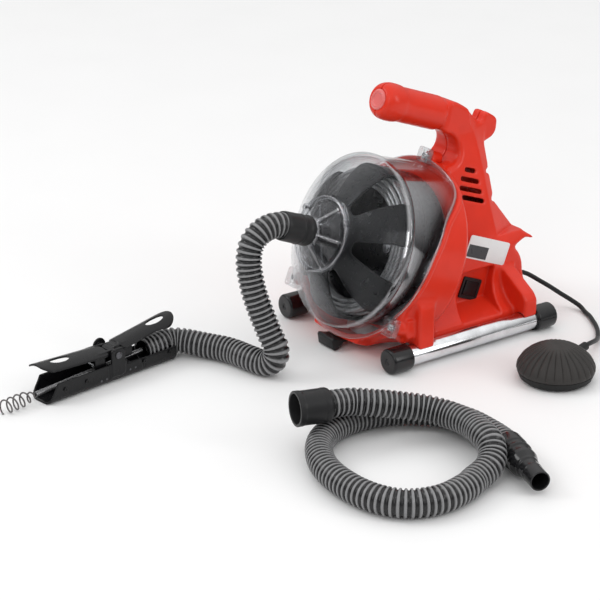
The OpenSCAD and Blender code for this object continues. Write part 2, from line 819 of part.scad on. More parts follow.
module slot_hole(x, length, width) {
    for (s = [-1, 1]) translate([x + s * (length - width) / 2, 0, -30])
        cylinder(r = width / 2, h = 60);
    translate([x - (length - width) / 2, -width / 2, -30])
        cube([length - width, width, 60]);
}

// Places of the levers' own rollers, from the pivot
advance_roller_x = [18, 26];
advance_roller_z = -9.2;
retract_roller_x = [-26, -18];
retract_roller_z = -8.2;

// Front lever: pressing it feeds the cable out
module advance_lever() {
    color(black) feed_frame() translate([pivot_x, 0, pivot_z]) difference() {
        union() {
            rotate([0, -1, 0]) translate([10.5, 0, 7]) difference() {
                lever_plate(96, 17.5, 4);
                slot_hole(63, 22, 11);
                translate([96, 17.5, -20]) rotate([0, 0, 45]) cube([14, 14, 40], center = true);
            }
            for (s = [-1, 1]) translate([0, s * 11.2, 0]) {
                rotate([90, 0, 0]) cylinder(r = 5.5, h = 3.6, center = true);
                translate([0, -1.8, -2]) cube([24, 3.6, 7]);
            }
            for (s = [-1, 1]) translate([14, s * 11.2 - 1.8, -13]) cube([16, 3.6, 17]);
        }
        rotate([90, 0, 0]) cylinder(r = 3 + fit, h = 80, center = true);
        for (x = advance_roller_x) translate([x, 0, advance_roller_z]) rotate([90, 0, 0])
            cylinder(r = 1.5 + fit, h = 40, center = true);
    }
}

// Rear lever: pressing it pulls the cable back
module retract_lever() {
    color(black) feed_frame() translate([pivot_x, 0, pivot_z]) difference() {
        union() {
            rotate([0, 9, 0]) translate([-84, 0, 7.5]) difference() {
                union() {
                    lever_plate(72, 16.3, 4);
                    translate([0, 0, -5]) intersection() {
                        cylinder(r = 16.3, h = 4.4);
                        translate([-20, -20, 0]) cube([20.1, 40, 10]);
                    }
                }
                slot_hole(12, 22, 10);
            }
            rotate([90, 0, 0]) cylinder(r = 5.5, h = 17.6, center = true);
            translate([-20, -8.8, -1]) cube([18, 17.6, 8]);
            for (s = [-1, 1]) translate([-30, s * 7 - 1.8, -12]) cube([16, 3.6, 20.6]);
        }
        rotate([90, 0, 0]) cylinder(r = 3 + fit, h = 80, center = true);
        for (x = retract_roller_x) translate([x, 0, retract_roller_z]) rotate([90, 0, 0])
            cylinder(r = 1.5 + fit, h = 40, center = true);
    }
}

module roller(length, radius) {
    rotate([90, 0, 0]) union() {
        cylinder(r = radius, h = length, center = true);
        cylinder(r = 1.5, h = length + 7, center = true);
    }
}

module advance_rollers() {
    color(zinc) feed_frame() for (x = advance_roller_x)
        translate([pivot_x + x, 0, pivot_z + advance_roller_z]) roller(18.4, 4);
}

module retract_rollers() {
    color(zinc) feed_frame() for (x = retract_roller_x)
        translate([pivot_x + x, 0, pivot_z + retract_roller_z]) roller(10, 3.2);
}

module lower_rollers() {
    color(zinc) feed_frame() for (x = roller_places)
        translate([x, 0, lower_roller_height(x)]) rotate([90, 0, 0]) union() {
            cylinder(r = 4, h = 16, center = true);
            cylinder(r = 1.5, h = 2 * feed_half, center = true);
        }
}

module lever_springs() {
    color(zinc) feed_frame() for (s = [-1, 1]) for (i = [0 : 2])
        translate([pivot_x, s * (13.8 + 0.85 * i), pivot_z]) rotate([90, 0, 0])
            translate([0, 0, -0.4]) ring(4.6, 3.4, 0.8);
}

module feed_screws() {
    color(zinc) feed_frame() for (s = [-1, 1]) for (x = [12, 52, 140, 172])
        translate([x, s * feed_half, 15]) rotate([-90 * s, 0, 0]) difference() {
            cylinder(r = 2.6, h = 1.4);
            translate([0, 0, 0.8]) cylinder(r = 1.3, h = 2, $fn = 6);
        }
}

// ---- Cable end ----------------------------------------------------------

module cable_lead() {
    color(zinc) lead_frame() translate([0, 0, 0.6]) cylinder(r = cable_r, h = 161.4);
}

module cable_tip() {
    turns = 5;
    color(zinc) lead_frame() tube(tip_route(turns, 12), 0.95, 8, 1);
}

// Open helix at the end of the cable, from the cable's own radius out to the bulb radius
function tip_route(turns, per_turn) = [for (i = [0 : turns * per_turn])
    let (s = i / (turns * per_turn), r = 2.4 + 5.8 * sin(min(1, s * 2.2) * 90),
        a = 360 * turns * s)
    [r * cos(a), r * sin(a), 163 + 46 * s]];

// ---- Foot pedal ---------------------------------------------------------

pedal_seam = 12;

module pedal_base() {
    color(black) pedal_frame() difference() {
        union() {
            rotate_extrude() polygon([[0, 0], [38, 0], [44, 4], [47, pedal_seam - 0.3],
                [0, pedal_seam - 0.3]]);
            rotate([0, 0, 109]) translate([40, -6, 8]) cube([12, 12, 3.4]);
            rotate([0, 0, 109]) translate([51, 0, 16]) rotate([0, 90, 0])
                cylinder(r = 5.5, h = 24);
            rotate([0, 0, 109]) translate([51, -5.5, 8]) cube([8, 11, 8]);
        }
        rotate([0, 0, 109]) translate([68, 0, 16]) rotate([0, 90, 0])
            cylinder(r = air_r + gap, h = 20);
        translate([0, 0, 4]) cylinder(r = 10, h = 20);
    }
}

module pedal_dome() {
    color(black) pedal_frame() rotate_extrude() polygon([[47.3, pedal_seam],
        [pedal_r, pedal_seam + 5], [46.5, 21], [42, 29], [34, 36], [24, 42], [13, pedal_h],
        [0, pedal_h], [0, pedal_h - 3], [13, pedal_h - 3], [22, 39], [32, 33], [39, 27],
        [43.5, 20], [45, pedal_seam + 5], [44.3, pedal_seam]]);
}

module pedal_spring() {
    color(zinc) pedal_frame() translate([0, 0, 4.2]) ring(9, 6.5, 30);
}

module pedal_spring_cup() {
    color(black) pedal_frame() translate([0, 0, 34.6]) union() {
        cylinder(r = 12, h = 6);
        translate([0, 0, -4]) cylinder(r = 6, h = 4);
    }
}

module air_hose() {
    color(black) tube(air_route, air_r, 8, route_steps);
}

// ---- Front guide hose ---------------------------------------------------

module front_hose() {
    color(grey) tube(front_route, hose_r, hose_sides, route_steps);
}

// Cuff frame: origin at the mouth, +Z back along the hose
module cuff_frame() {
    translate([135.6, -132.9, 54]) rotate([0, 0, 76.3]) rotate([0, 92.1, 0]) children();
}

module front_hose_cuff() {
    color(black) cuff_frame() rotate_extrude() polygon([[17, 0], [20, 0], [20, 37],
        [18.5, 40], [16.5, 40], [16.5, 23], [17, 22]]);
}

module nozzle_frame() {
    translate([295, 46, 17.5]) rotate([0, 0, -18.7]) rotate([0, 90, 0]) children();
}

module front_hose_nozzle() {
    color(black) nozzle_frame() rotate_extrude() polygon([[16.4, -10], [17.4, -10], [17.4, 8],
        [16, 14], [16.5, 16], [16.5, 36], [12.5, 43], [11.5, 45], [11.5, 80], [9.8, 80],
        [9.8, 9], [16.4, 9]]);
}

drum_housing();
motor_housing_right();
motor_housing_left();
handle_end_cap();
base_plate();
front_foot();
shield();
nose_hub();
hub_screws();
shield_screws();
leg_tube_right();
leg_tube_left();
leg_cap_front_right();
leg_cap_front_left();
leg_cap_rear_right();
leg_cap_rear_left();
leg_screws();
switch_bezel();
rocker_switch();
rating_plate();
front_bearing();
rear_bearing();
drum_shaft();
drum_front();
drum_back();
drum_screws();
cable_coil();
drum_pulley();
motor_plate();
motor();
motor_shaft();
motor_pulley();
drive_belt();
air_switch();
air_fitting();
cord_gland();
housing_screws();
guide_hose();
guide_hose_cuff();
feed_body();
lever_pin();
advance_lever();
retract_lever();
advance_rollers();
retract_rollers();
lower_rollers();
lever_springs();
feed_screws();
cable_lead();
cable_tip();
pedal_base();
pedal_dome();
pedal_spring();
pedal_spring_cup();
air_hose();
front_hose();
front_hose_cuff();
front_hose_nozzle();
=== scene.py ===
import json
import math

import bmesh
import bpy
import numpy as np
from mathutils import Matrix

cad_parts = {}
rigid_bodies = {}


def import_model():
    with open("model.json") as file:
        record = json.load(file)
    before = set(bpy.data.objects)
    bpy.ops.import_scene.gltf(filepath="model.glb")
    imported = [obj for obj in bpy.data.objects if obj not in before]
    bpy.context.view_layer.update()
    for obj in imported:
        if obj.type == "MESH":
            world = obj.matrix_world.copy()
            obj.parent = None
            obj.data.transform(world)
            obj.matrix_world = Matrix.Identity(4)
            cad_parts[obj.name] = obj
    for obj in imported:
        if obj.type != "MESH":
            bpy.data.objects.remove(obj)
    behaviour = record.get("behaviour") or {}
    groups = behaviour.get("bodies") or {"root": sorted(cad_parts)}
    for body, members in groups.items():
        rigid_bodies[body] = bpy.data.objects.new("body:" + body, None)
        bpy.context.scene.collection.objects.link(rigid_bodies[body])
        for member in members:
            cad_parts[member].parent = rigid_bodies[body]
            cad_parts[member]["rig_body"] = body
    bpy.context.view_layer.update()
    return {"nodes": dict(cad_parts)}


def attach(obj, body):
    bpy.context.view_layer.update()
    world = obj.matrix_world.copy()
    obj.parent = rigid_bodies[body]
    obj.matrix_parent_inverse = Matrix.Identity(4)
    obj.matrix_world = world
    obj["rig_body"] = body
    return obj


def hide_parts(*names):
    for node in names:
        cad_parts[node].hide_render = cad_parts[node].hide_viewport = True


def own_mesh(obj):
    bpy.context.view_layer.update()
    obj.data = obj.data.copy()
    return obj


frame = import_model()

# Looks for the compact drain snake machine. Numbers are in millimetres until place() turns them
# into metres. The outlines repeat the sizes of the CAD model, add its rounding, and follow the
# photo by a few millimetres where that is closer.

import openvdb
from mathutils import Matrix, Vector

MM = 0.001
GRID_FACTOR = 1.0


# ---- Frames ----

def turn(angle, axis):
    return Matrix.Rotation(math.radians(angle), 4, axis)


def shift(x, y, z):
    return Matrix.Translation((x, y, z))


WORLD = Matrix.Identity(4)
MACHINE = shift(-80, 213, 0)
TO_AXIS = shift(0, -109, 136.5) @ turn(68.5, "X")
AXIS = MACHINE @ TO_AXIS
TO_GRIP = shift(0, -58, 306) @ turn(70, "X")
FEED = shift(-175, -106, 0) @ turn(-82, "Z")
PIVOT_AT = (92, 35)
PIVOT = FEED @ shift(PIVOT_AT[0], 0, PIVOT_AT[1])
LEAD = FEED @ shift(40, 0, 19.5) @ turn(92.8, "Y")
PEDAL = shift(156, 239, 0)
CUFF = shift(135.6, -132.9, 54) @ turn(76.3, "Z") @ turn(92.1, "Y")
NOZZLE = shift(295, 46, 17.5) @ turn(-18.7, "Z") @ turn(90, "Y")

# Where each leg tube runs, across and up from the machine's origin, and the bore that holds it
LEG_AT = (108.3, 16)
LEG_BORE = 12.8
# Where the casing and the drum housing end above the floor
UNDERSIDE = 9


def place(points, matrix):
    """Points in a frame, in millimetres, as world points in metres."""
    m = np.array(matrix)
    return (np.asarray(points, float) @ m[:3, :3].T + m[:3, 3]) * MM


# ---- Camera and light ----

def stand(name, data):
    """A new object of the scene."""
    thing = bpy.data.objects.new(name, data)
    bpy.context.scene.collection.objects.link(thing)
    return thing


def aim(thing, place_at, target):
    """Puts a camera or light at a place and points it at a target, both in metres."""
    thing.location = place_at
    along = Vector(target) - Vector(place_at)
    thing.rotation_euler = along.to_track_quat("-Z", "Y").to_euler()


camera_data = bpy.data.cameras.new("camera")
camera_data.lens = 118.3
camera_data.sensor_width = 36
camera = stand("camera", camera_data)
aim(camera, (1.7418, -1.2746, 0.9926), (0.0112, -0.03705, 0.120))
bpy.context.scene.camera = camera
bpy.context.scene.view_settings.view_transform = "Standard"


def area_light(name, place_at, target, size, power):
    data = bpy.data.lights.new(name, "AREA")
    data.shape = "RECTANGLE"
    data.size, data.size_y = size
    data.energy = power
    aim(stand(name, data), place_at, target)


area_light("key", (-1.3, -1.7, 1.9), (0, 0, 0.1), (1.1, 0.9), 13)
area_light("right_box", (2.2, 1.3, 1.3), (-0.05, 0.15, 0.15), (0.5, 1.3), 10)
area_light("front_strip", (1.5, -2.1, 1.6), (0, 0, 0.1), (0.5, 1.2), 7)


def studio_world():
    """A white ceiling over darker walls, so that dark parts keep their depth."""
    world = bpy.data.worlds.new("studio")
    world.use_nodes = True
    tree = world.node_tree
    background = tree.nodes["Background"]
    separate = tree.nodes.new("ShaderNodeSeparateXYZ")
    ramp = tree.nodes.new("ShaderNodeValToRGB")
    coordinates = tree.nodes.new("ShaderNodeTexCoord")
    tree.links.new(coordinates.outputs["Generated"], separate.inputs[0])
    tree.links.new(separate.outputs["Z"], ramp.inputs[0])
    tree.links.new(ramp.outputs["Color"], background.inputs["Color"])
    for element, place_on, grey in zip(ramp.color_ramp.elements, (0.05, 0.75), (0.16, 1.0)):
        element.position = place_on
        element.color = (grey, grey, grey, 1)
    background.inputs["Strength"].default_value = 1.15
    bpy.context.scene.world = world


studio_world()


# ---- Materials ----

class Finish:
    """A Principled material with its nodes, and noise in the object's own coordinates."""

    def __init__(self, name, colour, roughness, metallic=0.0, coat=0.0, specular=0.4):
        self.name = name
        self.material = bpy.data.materials.new(name)
        self.material.use_nodes = True
        self.tree = self.material.node_tree
        self.shader = self.tree.nodes["Principled BSDF"]
        self.colour = colour
        self.roughness = roughness
        for socket, value in (("Base Color", (*colour, 1)), ("Roughness", roughness),
                              ("Metallic", metallic), ("Coat Weight", coat),
                              ("Coat Roughness", 0.12), ("Specular IOR Level", specular)):
            self.set(self.shader, socket, value)
        self.coordinates = self.node("TexCoord").outputs["Object"]

    def node(self, kind):
        return self.tree.nodes.new("ShaderNode" + kind)

    def set(self, node, socket, value):
        node.inputs[socket].default_value = value

    def link(self, output, node, socket):
        self.tree.links.new(output, node.inputs[socket])

    def noise(self, scale, stretch=(1, 1, 1)):
        mapping = self.node("Mapping")
        self.link(self.coordinates, mapping, "Vector")
        self.set(mapping, "Scale", stretch)
        noise = self.node("TexNoise")
        self.link(mapping.outputs["Vector"], noise, "Vector")
        self.set(noise, "Scale", scale)
        self.set(noise, "Detail", 3.0)
        return noise.outputs["Fac"]

    def ranged(self, value, low, high, start=0.3, end=0.7):
        node = self.node("MapRange")
        self.link(value, node, "Value")
        for socket, number in zip(("From Min", "From Max", "To Min", "To Max"),
                                  (start, end, low, high)):
            self.set(node, socket, number)
        return node.outputs["Result"]

    def worked(self, operation, first, second):
        """One output worked on with a number or with another output."""
        node = self.node("Math")
        node.operation = operation
        self.link(first, node, 0)
        if isinstance(second, float):
            self.set(node, 1, second)
        else:
            self.link(second, node, 1)
        return node.outputs[0]

    def mixed(self, factor, first, second):
        node = self.node("MixRGB")
        self.link(factor, node, "Fac")
        self.set(node, "Color1", (*first, 1))
        self.set(node, "Color2", (*second, 1))
        return node.outputs["Color"]

    def attribute(self, name):
        node = self.node("Attribute")
        node.attribute_name = name
        return node.outputs["Fac"]

    def vary_colour(self, factor, second):
        self.link(self.mixed(factor, self.colour, second), self.shader, "Base Color")

    def vary_roughness(self, value, spread):
        low, high = self.roughness - spread, self.roughness + spread
        self.link(self.ranged(value, low, high), self.shader, "Roughness")

    def bump(self, height, depth):
        """Relief of a depth in millimetres, on top of any that is there already."""
        node = self.node("Bump")
        self.link(height, node, "Height")
        self.set(node, "Distance", depth * MM)
        self.set(node, "Strength", 1.0)
        if self.shader.inputs["Normal"].links:
            before = self.shader.inputs["Normal"].links[0].from_socket
            self.link(before, node, "Normal")
        self.link(node.outputs["Normal"], self.shader, "Normal")


def moulded(name, colour, roughness, grain=1400, depth=0.02, coat=0.0, darker=0.82,
            specular=0.24):
    """Moulded plastic or rubber: fine grain, faint clouding and uneven gloss."""
    finish = Finish(name, colour, roughness, coat=coat, specular=specular)
    cloud = finish.noise(38)
    finish.vary_colour(finish.ranged(cloud, 0, 1), tuple(c * darker for c in colour))
    finish.vary_roughness(finish.noise(120), 0.05)
    finish.bump(finish.noise(grain), depth)
    return finish


def metal(name, colour, roughness, stretch=(1, 1, 1), grain=900):
    """Plated or bright steel, with fine drawing marks along the stretch."""
    finish = Finish(name, colour, roughness, metallic=1.0)
    finish.vary_colour(finish.ranged(finish.noise(60), 0, 1), tuple(c * 0.8 for c in colour))
    finish.vary_roughness(finish.noise(grain, stretch=stretch), 0.07)
    finish.bump(finish.noise(grain, stretch=stretch), 0.012)
    return finish


def clear_plastic(name, tint, roughness, low):
    """Clear polycarbonate: see-through, glossier at a slant and paler at its thick edges."""
    finish = Finish(name, tint, roughness, metallic=1.0)
    finish.vary_roughness(finish.noise(90), 0.03)
    finish.bump(finish.noise(14), 0.05)
    through = finish.node("BsdfTransparent")
    finish.set(through, "Color", (0.965, 0.972, 0.978, 1))
    slant = finish.node("LayerWeight")
    finish.set(slant, "Blend", 0.5)
    steep = finish.worked("POWER", slant.outputs["Facing"], 3.4)
    shine = finish.ranged(steep, low, 0.7, 0.0, 1.0)
    thick = finish.ranged(finish.attribute("edge"), 0.0, 0.5, 0.0, 1.0)
    blend = finish.node("MixShader")
    finish.link(finish.worked("MAXIMUM", shine, thick), blend, "Fac")
    finish.link(through.outputs[0], blend, 1)
    finish.link(finish.shader.outputs[0], blend, 2)
    finish.link(blend.outputs[0], finish.tree.nodes["Material Output"], "Surface")
    return finish


RED = (0.74, 0.030, 0.010)
BLACK = (0.012, 0.012, 0.013)
red_housing = moulded("red_housing", RED, 0.36, coat=0.15, darker=0.93)
red_gloss = moulded("red_gloss", (0.78, 0.16, 0.15), 0.14, depth=0.006, coat=0.6, darker=0.9)
black_plastic = moulded("black_plastic", (0.016, 0.016, 0.017), 0.42)
black_gloss = moulded("black_gloss", BLACK, 0.2, depth=0.006)
black_rubber = moulded("black_rubber", (0.018, 0.018, 0.018), 0.6, grain=800, depth=0.05)
drum_black = moulded("drum_black", (0.006, 0.006, 0.007), 0.3, grain=1200, depth=0.004)
cap_black = moulded("cap_black", (0.010, 0.010, 0.011), 0.22, depth=0.004, specular=0.4)
cuff_black = moulded("cuff_black", (0.020, 0.020, 0.021), 0.36, grain=900, depth=0.03)
feed_black = moulded("feed_black", (0.006, 0.006, 0.007), 0.3, grain=1100, depth=0.01,
                     specular=0.3)
nozzle_black = moulded("nozzle_black", BLACK, 0.18, depth=0.008, specular=0.4)
pedal_rubber = moulded("pedal_rubber", (0.040, 0.037, 0.035), 0.55, grain=900, depth=0.06)
air_hose_black = moulded("air_hose_black", (0.016, 0.016, 0.017), 0.4, depth=0.01)
belt_rubber = moulded("belt_rubber", (0.02, 0.02, 0.02), 0.65, depth=0.05)
plate_white = moulded("plate_white", (0.80, 0.80, 0.80), 0.3, depth=0.003, darker=0.96)
plate_grey = moulded("plate_grey", (0.06, 0.06, 0.065), 0.3, depth=0.003)
zinc_tube = metal("zinc_tube", (0.80, 0.81, 0.83), 0.17, stretch=(1, 0.02, 1), grain=1500)
bearing_steel = metal("bearing_steel", (0.62, 0.63, 0.65), 0.24)
pulley_metal = metal("pulley_metal", (0.55, 0.55, 0.56), 0.32)
motor_case = metal("motor_case", (0.34, 0.35, 0.36), 0.38, stretch=(1, 1, 0.1))
steel_screws = metal("steel_screws", (0.72, 0.72, 0.74), 0.25)
dark_screws = metal("dark_screws", (0.13, 0.13, 0.14), 0.34)
tip_steel = metal("tip_steel", (0.16, 0.15, 0.15), 0.3)
clear_shield = clear_plastic("clear_shield", (0.66, 0.66, 0.68), 0.08, 0.012)
clear_hub = clear_plastic("clear_hub", (0.56, 0.56, 0.58), 0.10, 0.05)


def hose_finish():
    """Corrugated hose from the ridge attribute: grey ridges, their own colour with a painted
    highlight on the crests, over black valleys darkened further by painted shade.
    """
    finish = Finish("hose_grey", (0.012, 0.012, 0.013), 0.3, specular=0.5)
    worn = finish.noise(260)
    # The ridge mask paints a highlight onto the crests and shade into the valleys, on top of the
    # hose's own grey ridges and black valleys
    ridge = finish.ranged(finish.attribute("ridge"), 0, 1, 0.5, 1.0)
    finish.link(finish.mixed(ridge, (0.003, 0.003, 0.004), (0.23, 0.23, 0.235)),
                finish.shader, "Base Color")
    finish.vary_roughness(worn, 0.08)
    finish.bump(worn, 0.06)
    return finish


CABLE_RADIUS = 3.175
WIRE_PITCH = 1.5


def cable_finish():
    """Wound cable: close turns of bright wire, from the length attribute, with painted shade in
    the dark bands between the turns.
    """
    finish = metal("cable_steel", (0.50, 0.50, 0.51), 0.3)
    phase = finish.worked("MULTIPLY", finish.attribute("along"), 2 * math.pi / WIRE_PITCH)
    turns = finish.ranged(finish.worked("SINE", phase, 0.0), 0, 1, -0.9, 0.4)
    # Painted shade: the dark bands between the wire's turns stand in for the shade in their
    # crevices
    finish.link(finish.mixed(turns, (0.05, 0.05, 0.05), (0.56, 0.56, 0.57)),
                finish.shader, "Base Color")
    finish.bump(turns, 0.35)
    return finish


hose_grey = hose_finish()
cable_steel = cable_finish()


# ---- Mesh helpers ----

SHARP = 38


def dress(piece, finish, body, nodes, sharp):
    """Shades a piece, gives it its material and body, and hides the CAD nodes it stands for."""
    mesh = piece.data
    mesh.shade_smooth()
    mesh.set_sharp_from_angle(angle=math.radians(sharp))
    mesh.materials.clear()
    mesh.materials.append(finish.material)
    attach(piece, body)
    if nodes:
        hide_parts(*nodes)


def add_piece(name, shape, matrix, finish, body, nodes=(), sharp=SHARP,
              values=None, weld=False):
    """A smooth mesh of points and faces, riding on a body and standing for CAD nodes."""
    points, faces = shape
    mesh = bpy.data.meshes.new(name)
    faces = np.asarray(faces, np.int32)
    corners = faces.shape[1]
    mesh.vertices.add(len(points))
    mesh.vertices.foreach_set("co", place(points, matrix).astype(np.float32).ravel())
    mesh.loops.add(faces.size)
    mesh.loops.foreach_set("vertex_index", faces.ravel())
    mesh.polygons.add(len(faces))
    mesh.polygons.foreach_set("loop_start", np.arange(0, faces.size, corners, dtype=np.int32))
    mesh.update(calc_edges=True)
    for key, numbers in (values or {}).items():
        layer = mesh.attributes.new(key, "FLOAT", "POINT")
        layer.data.foreach_set("value", np.asarray(numbers, np.float32))
    if weld:
        work = bmesh.new()
        work.from_mesh(mesh)
        bmesh.ops.remove_doubles(work, verts=work.verts, dist=0.01 * MM)
        work.to_mesh(mesh)
        work.free()
    mesh.validate()
    piece = stand(name, mesh)
    dress(piece, finish, body, nodes, sharp)
    return piece


def rounded(points, radius, steps=4):
    """A closed outline with its corners eased; radius is one number or one for each corner."""
    points = [np.array(p, float) for p in points]
    radii = [radius] * len(points) if np.isscalar(radius) else radius
    eased = []
    for i, corner in enumerate(points):
        before, after = points[i - 1], points[(i + 1) % len(points)]
        into, out = before - corner, after - corner
        long_in, long_out = np.linalg.norm(into), np.linalg.norm(out)
        reach = min(radii[i], 0.45 * long_in, 0.45 * long_out)
        start, end = corner + into / long_in * reach, corner + out / long_out * reach
        for t in np.linspace(0, 1, steps + 1):
            eased.append((1 - t) ** 2 * start + 2 * t * (1 - t) * corner + t * t * end)
    return np.array(eased)


def grid_faces(rows, columns, close_rows=False):
    """Quads of a grid of rows x columns points, each row closing on itself."""
    row = np.arange(rows if close_rows else rows - 1)
    i, k = (a.ravel() for a in np.meshgrid(row, np.arange(columns), indexing="ij"))
    below, beside = (i + 1) % rows, (k + 1) % columns
    return np.stack([i * columns + k, i * columns + beside,
                     below * columns + beside, below * columns + k], 1)


def round_angles(count):
    return np.linspace(0, 2 * math.pi, count, endpoint=False)


def lathe(profile, segments=96):
    """Points and faces of a closed (radius, height) outline turned about Z."""
    profile = np.asarray(profile, float)
    angles = round_angles(segments)
    points = np.stack([np.outer(profile[:, 0], np.cos(angles)),
                       np.outer(profile[:, 0], np.sin(angles)),
                       np.repeat(profile[:, 1:], segments, 1)], 2).reshape(-1, 3)
    return outward(points, grid_faces(len(profile), segments, close_rows=True))


def outward(points, faces):
    """Turns the faces round when they enclose a negative volume."""
    corners = points[faces]
    across = np.cross(corners[:, 2] - corners[:, 0], corners[:, 3] - corners[:, 1])
    volume = (across * (corners.mean(1) - points.mean(0))).sum()
    return points, (faces if volume > 0 else faces[:, ::-1])


def spline(route, steps):
    """The CAD's smooth curve through the route, with that many steps between its points."""
    route = np.asarray(route, float)
    last = len(route) - 1
    out = []
    for s in np.arange(0, last * steps + 1) / steps:
        i = min(int(s), last - 1)
        t = s - i
        a, b, c, d = (route[j] for j in (max(i - 1, 0), i, i + 1, min(i + 2, last)))
        out.append(0.5 * (2 * b + (c - a) * t + (2 * a - 5 * b + 4 * c - d) * t ** 2
                          + (3 * b - a - 3 * c + d) * t ** 3))
    return np.array(out)


def evenly(points, spacing):
    """A polyline sampled again at an even spacing, and each sample's length along it."""
    steps = np.linalg.norm(np.diff(points, axis=0), axis=1)
    along = np.concatenate([[0], np.cumsum(steps)])
    count = max(2, int(round(along[-1] / spacing)) + 1)
    places = np.linspace(0, along[-1], count)
    return np.stack([np.interp(places, along, points[:, k]) for k in range(3)], 1), places


def sweep(centres, radii, sides, order=None):
    """Points and faces of a closed tube, with one radius or one for each ring. The order says
    which centre each ring sits on, so that an open end can turn back inside."""
    tangents = np.gradient(centres, axis=0)
    tangents[np.linalg.norm(tangents, axis=1) < 1e-6] = (0, 0, 1)
    tangents /= np.linalg.norm(tangents, axis=1)[:, None]
    side = np.array([1.0, 0, 0]) if abs(tangents[0][0]) < 0.9 else np.array([0, 1.0, 0])
    angles = round_angles(sides)
    circles = []
    for tangent in tangents:
        side = side - (side @ tangent) * tangent
        side /= np.linalg.norm(side)
        circles.append(np.outer(np.cos(angles), side)
                       + np.outer(np.sin(angles), np.cross(tangent, side)))
    order = range(len(centres)) if order is None else order
    rings = [centres[i] + radius * circles[i]
             for i, radius in zip(order, np.broadcast_to(radii, len(order)))]
    return outward(np.concatenate(rings), grid_faces(len(rings), sides))


def refined(node, finish, width, segments=2):
    """The CAD node again with small rounded edges."""
    source = frame["nodes"][node]
    work = bmesh.new()
    work.from_mesh(source.data)
    bmesh.ops.remove_doubles(work, verts=work.verts, dist=0.004 * MM)
    bmesh.ops.dissolve_limit(work, angle_limit=math.radians(1.0), verts=work.verts,
                             edges=work.edges)
    mesh = bpy.data.meshes.new(node + "_fine")
    work.to_mesh(mesh)
    work.free()
    piece = stand(node + "_fine", mesh)
    bevel = piece.modifiers.new("edges", "BEVEL")
    bevel.width = width * MM
    bevel.segments = segments
    bevel.limit_method = "ANGLE"
    bevel.angle_limit = math.radians(32)
    view = bpy.context.evaluated_depsgraph_get()
    piece.data = bpy.data.meshes.new_from_object(piece.evaluated_get(view))
    piece.modifiers.clear()
    dress(piece, finish, source["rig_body"], [node], SHARP)


# ---- Solids on a grid, for the moulded parts ----

class Grid:
    """Regular points in a frame; fields over it are signed distances, negative inside."""

    def __init__(self, low, high, step):
        self.step = step * GRID_FACTOR
        self.low = np.array(low, np.float32)
        x, y, z = (np.arange(a, b + self.step, self.step, dtype=np.float32)
                   for a, b in zip(low, high))
        self.axes = x[:, None, None], y[None, :, None], z[None, None, :]

    def seen_from(self, matrix):
        """The points' coordinates in another frame, given in this grid's frame."""
        rows = np.array(matrix.inverted())
        out = []
        for row in rows[:3]:
            value = np.float32(row[3])
            for k in range(3):
                if abs(row[k]) > 1e-6:
                    value = value + np.float32(row[k]) * self.axes[k]
            out.append(value)
        return out

    def contour(self, field, relax=2):
        """Points and faces of the surface, with its steps relaxed."""
        limit = 3 * self.step
        shape = tuple(a.size for a in self.axes)
        level = openvdb.FloatGrid(limit)
        level.copyFromArray(np.clip(np.broadcast_to(field, shape), -limit, limit)
                            .astype(np.float32))
        points, faces = level.convertToQuads(0.0)
        faces = faces.astype(np.int64)
        pairs = np.concatenate([faces[:, [k, (k + 1) % 4]] for k in range(4)])
        count = np.bincount(pairs.ravel(), minlength=len(points))[:, None]
        for _ in range(relax):
            total = np.stack([
                np.bincount(pairs[:, 0], points[pairs[:, 1], k], len(points))
                + np.bincount(pairs[:, 1], points[pairs[:, 0], k], len(points))
                for k in range(3)], 1)
            points = 0.5 * points + 0.5 * total / np.maximum(count, 1)
        return points * self.step + self.low, faces


def outline(points, u, v):
    """Distance to a closed outline over plane coordinates u and v."""
    shape = np.broadcast_shapes(np.shape(u), np.shape(v))
    best = np.full(shape, 1e9, np.float32)
    inside = np.zeros(shape, bool)
    points = [(float(a), float(b)) for a, b in points]
    for (ax, ay), (bx, by) in zip(points, points[1:] + points[:1]):
        ex, ey = bx - ax, by - ay
        wx, wy = u - ax, v - ay
        t = np.clip((wx * ex + wy * ey) / max(ex * ex + ey * ey, 1e-9), 0, 1)
        best = np.minimum(best, (wx - ex * t) ** 2 + (wy - ey * t) ** 2)
        if ay != by:
            inside ^= ((ay <= v) != (by <= v)) & (wx < wy * (ex / ey))
    return np.where(inside, -1, 1) * np.sqrt(best)


def join(a, b, ease=0.0):
    if not ease:
        return np.minimum(a, b)
    h = np.maximum(ease - np.abs(a - b), 0) / ease
    return np.minimum(a, b) - h * h * ease / 4


def common(a, b, ease=0.0):
    return -join(-a, -b, ease)


def cut(a, b, ease=0.0):
    return common(a, -b, ease)


def slab(u, low, high):
    return np.abs(u - (low + high) / 2) - (high - low) / 2


def box(u, v, w, low, high, ease=0.0):
    field = common(slab(u, low[0], high[0]), slab(v, low[1], high[1]), ease)
    return common(field, slab(w, low[2], high[2]), ease)


def disc(u, v, radius, at=(0, 0)):
    return np.sqrt((u - at[0]) ** 2 + (v - at[1]) ** 2) - radius


def spokes(u, v, count, offset):
    """Coordinates along and across the nearest of some equally spaced spokes."""
    r, sector = np.sqrt(u ** 2 + v ** 2), 2 * math.pi / count
    angle = np.arctan2(v, u) - math.radians(offset)
    folded = (angle + sector / 2) % sector - sector / 2
    return r * np.cos(folded), r * np.sin(folded)


# ---- Cords: the free hoses ----

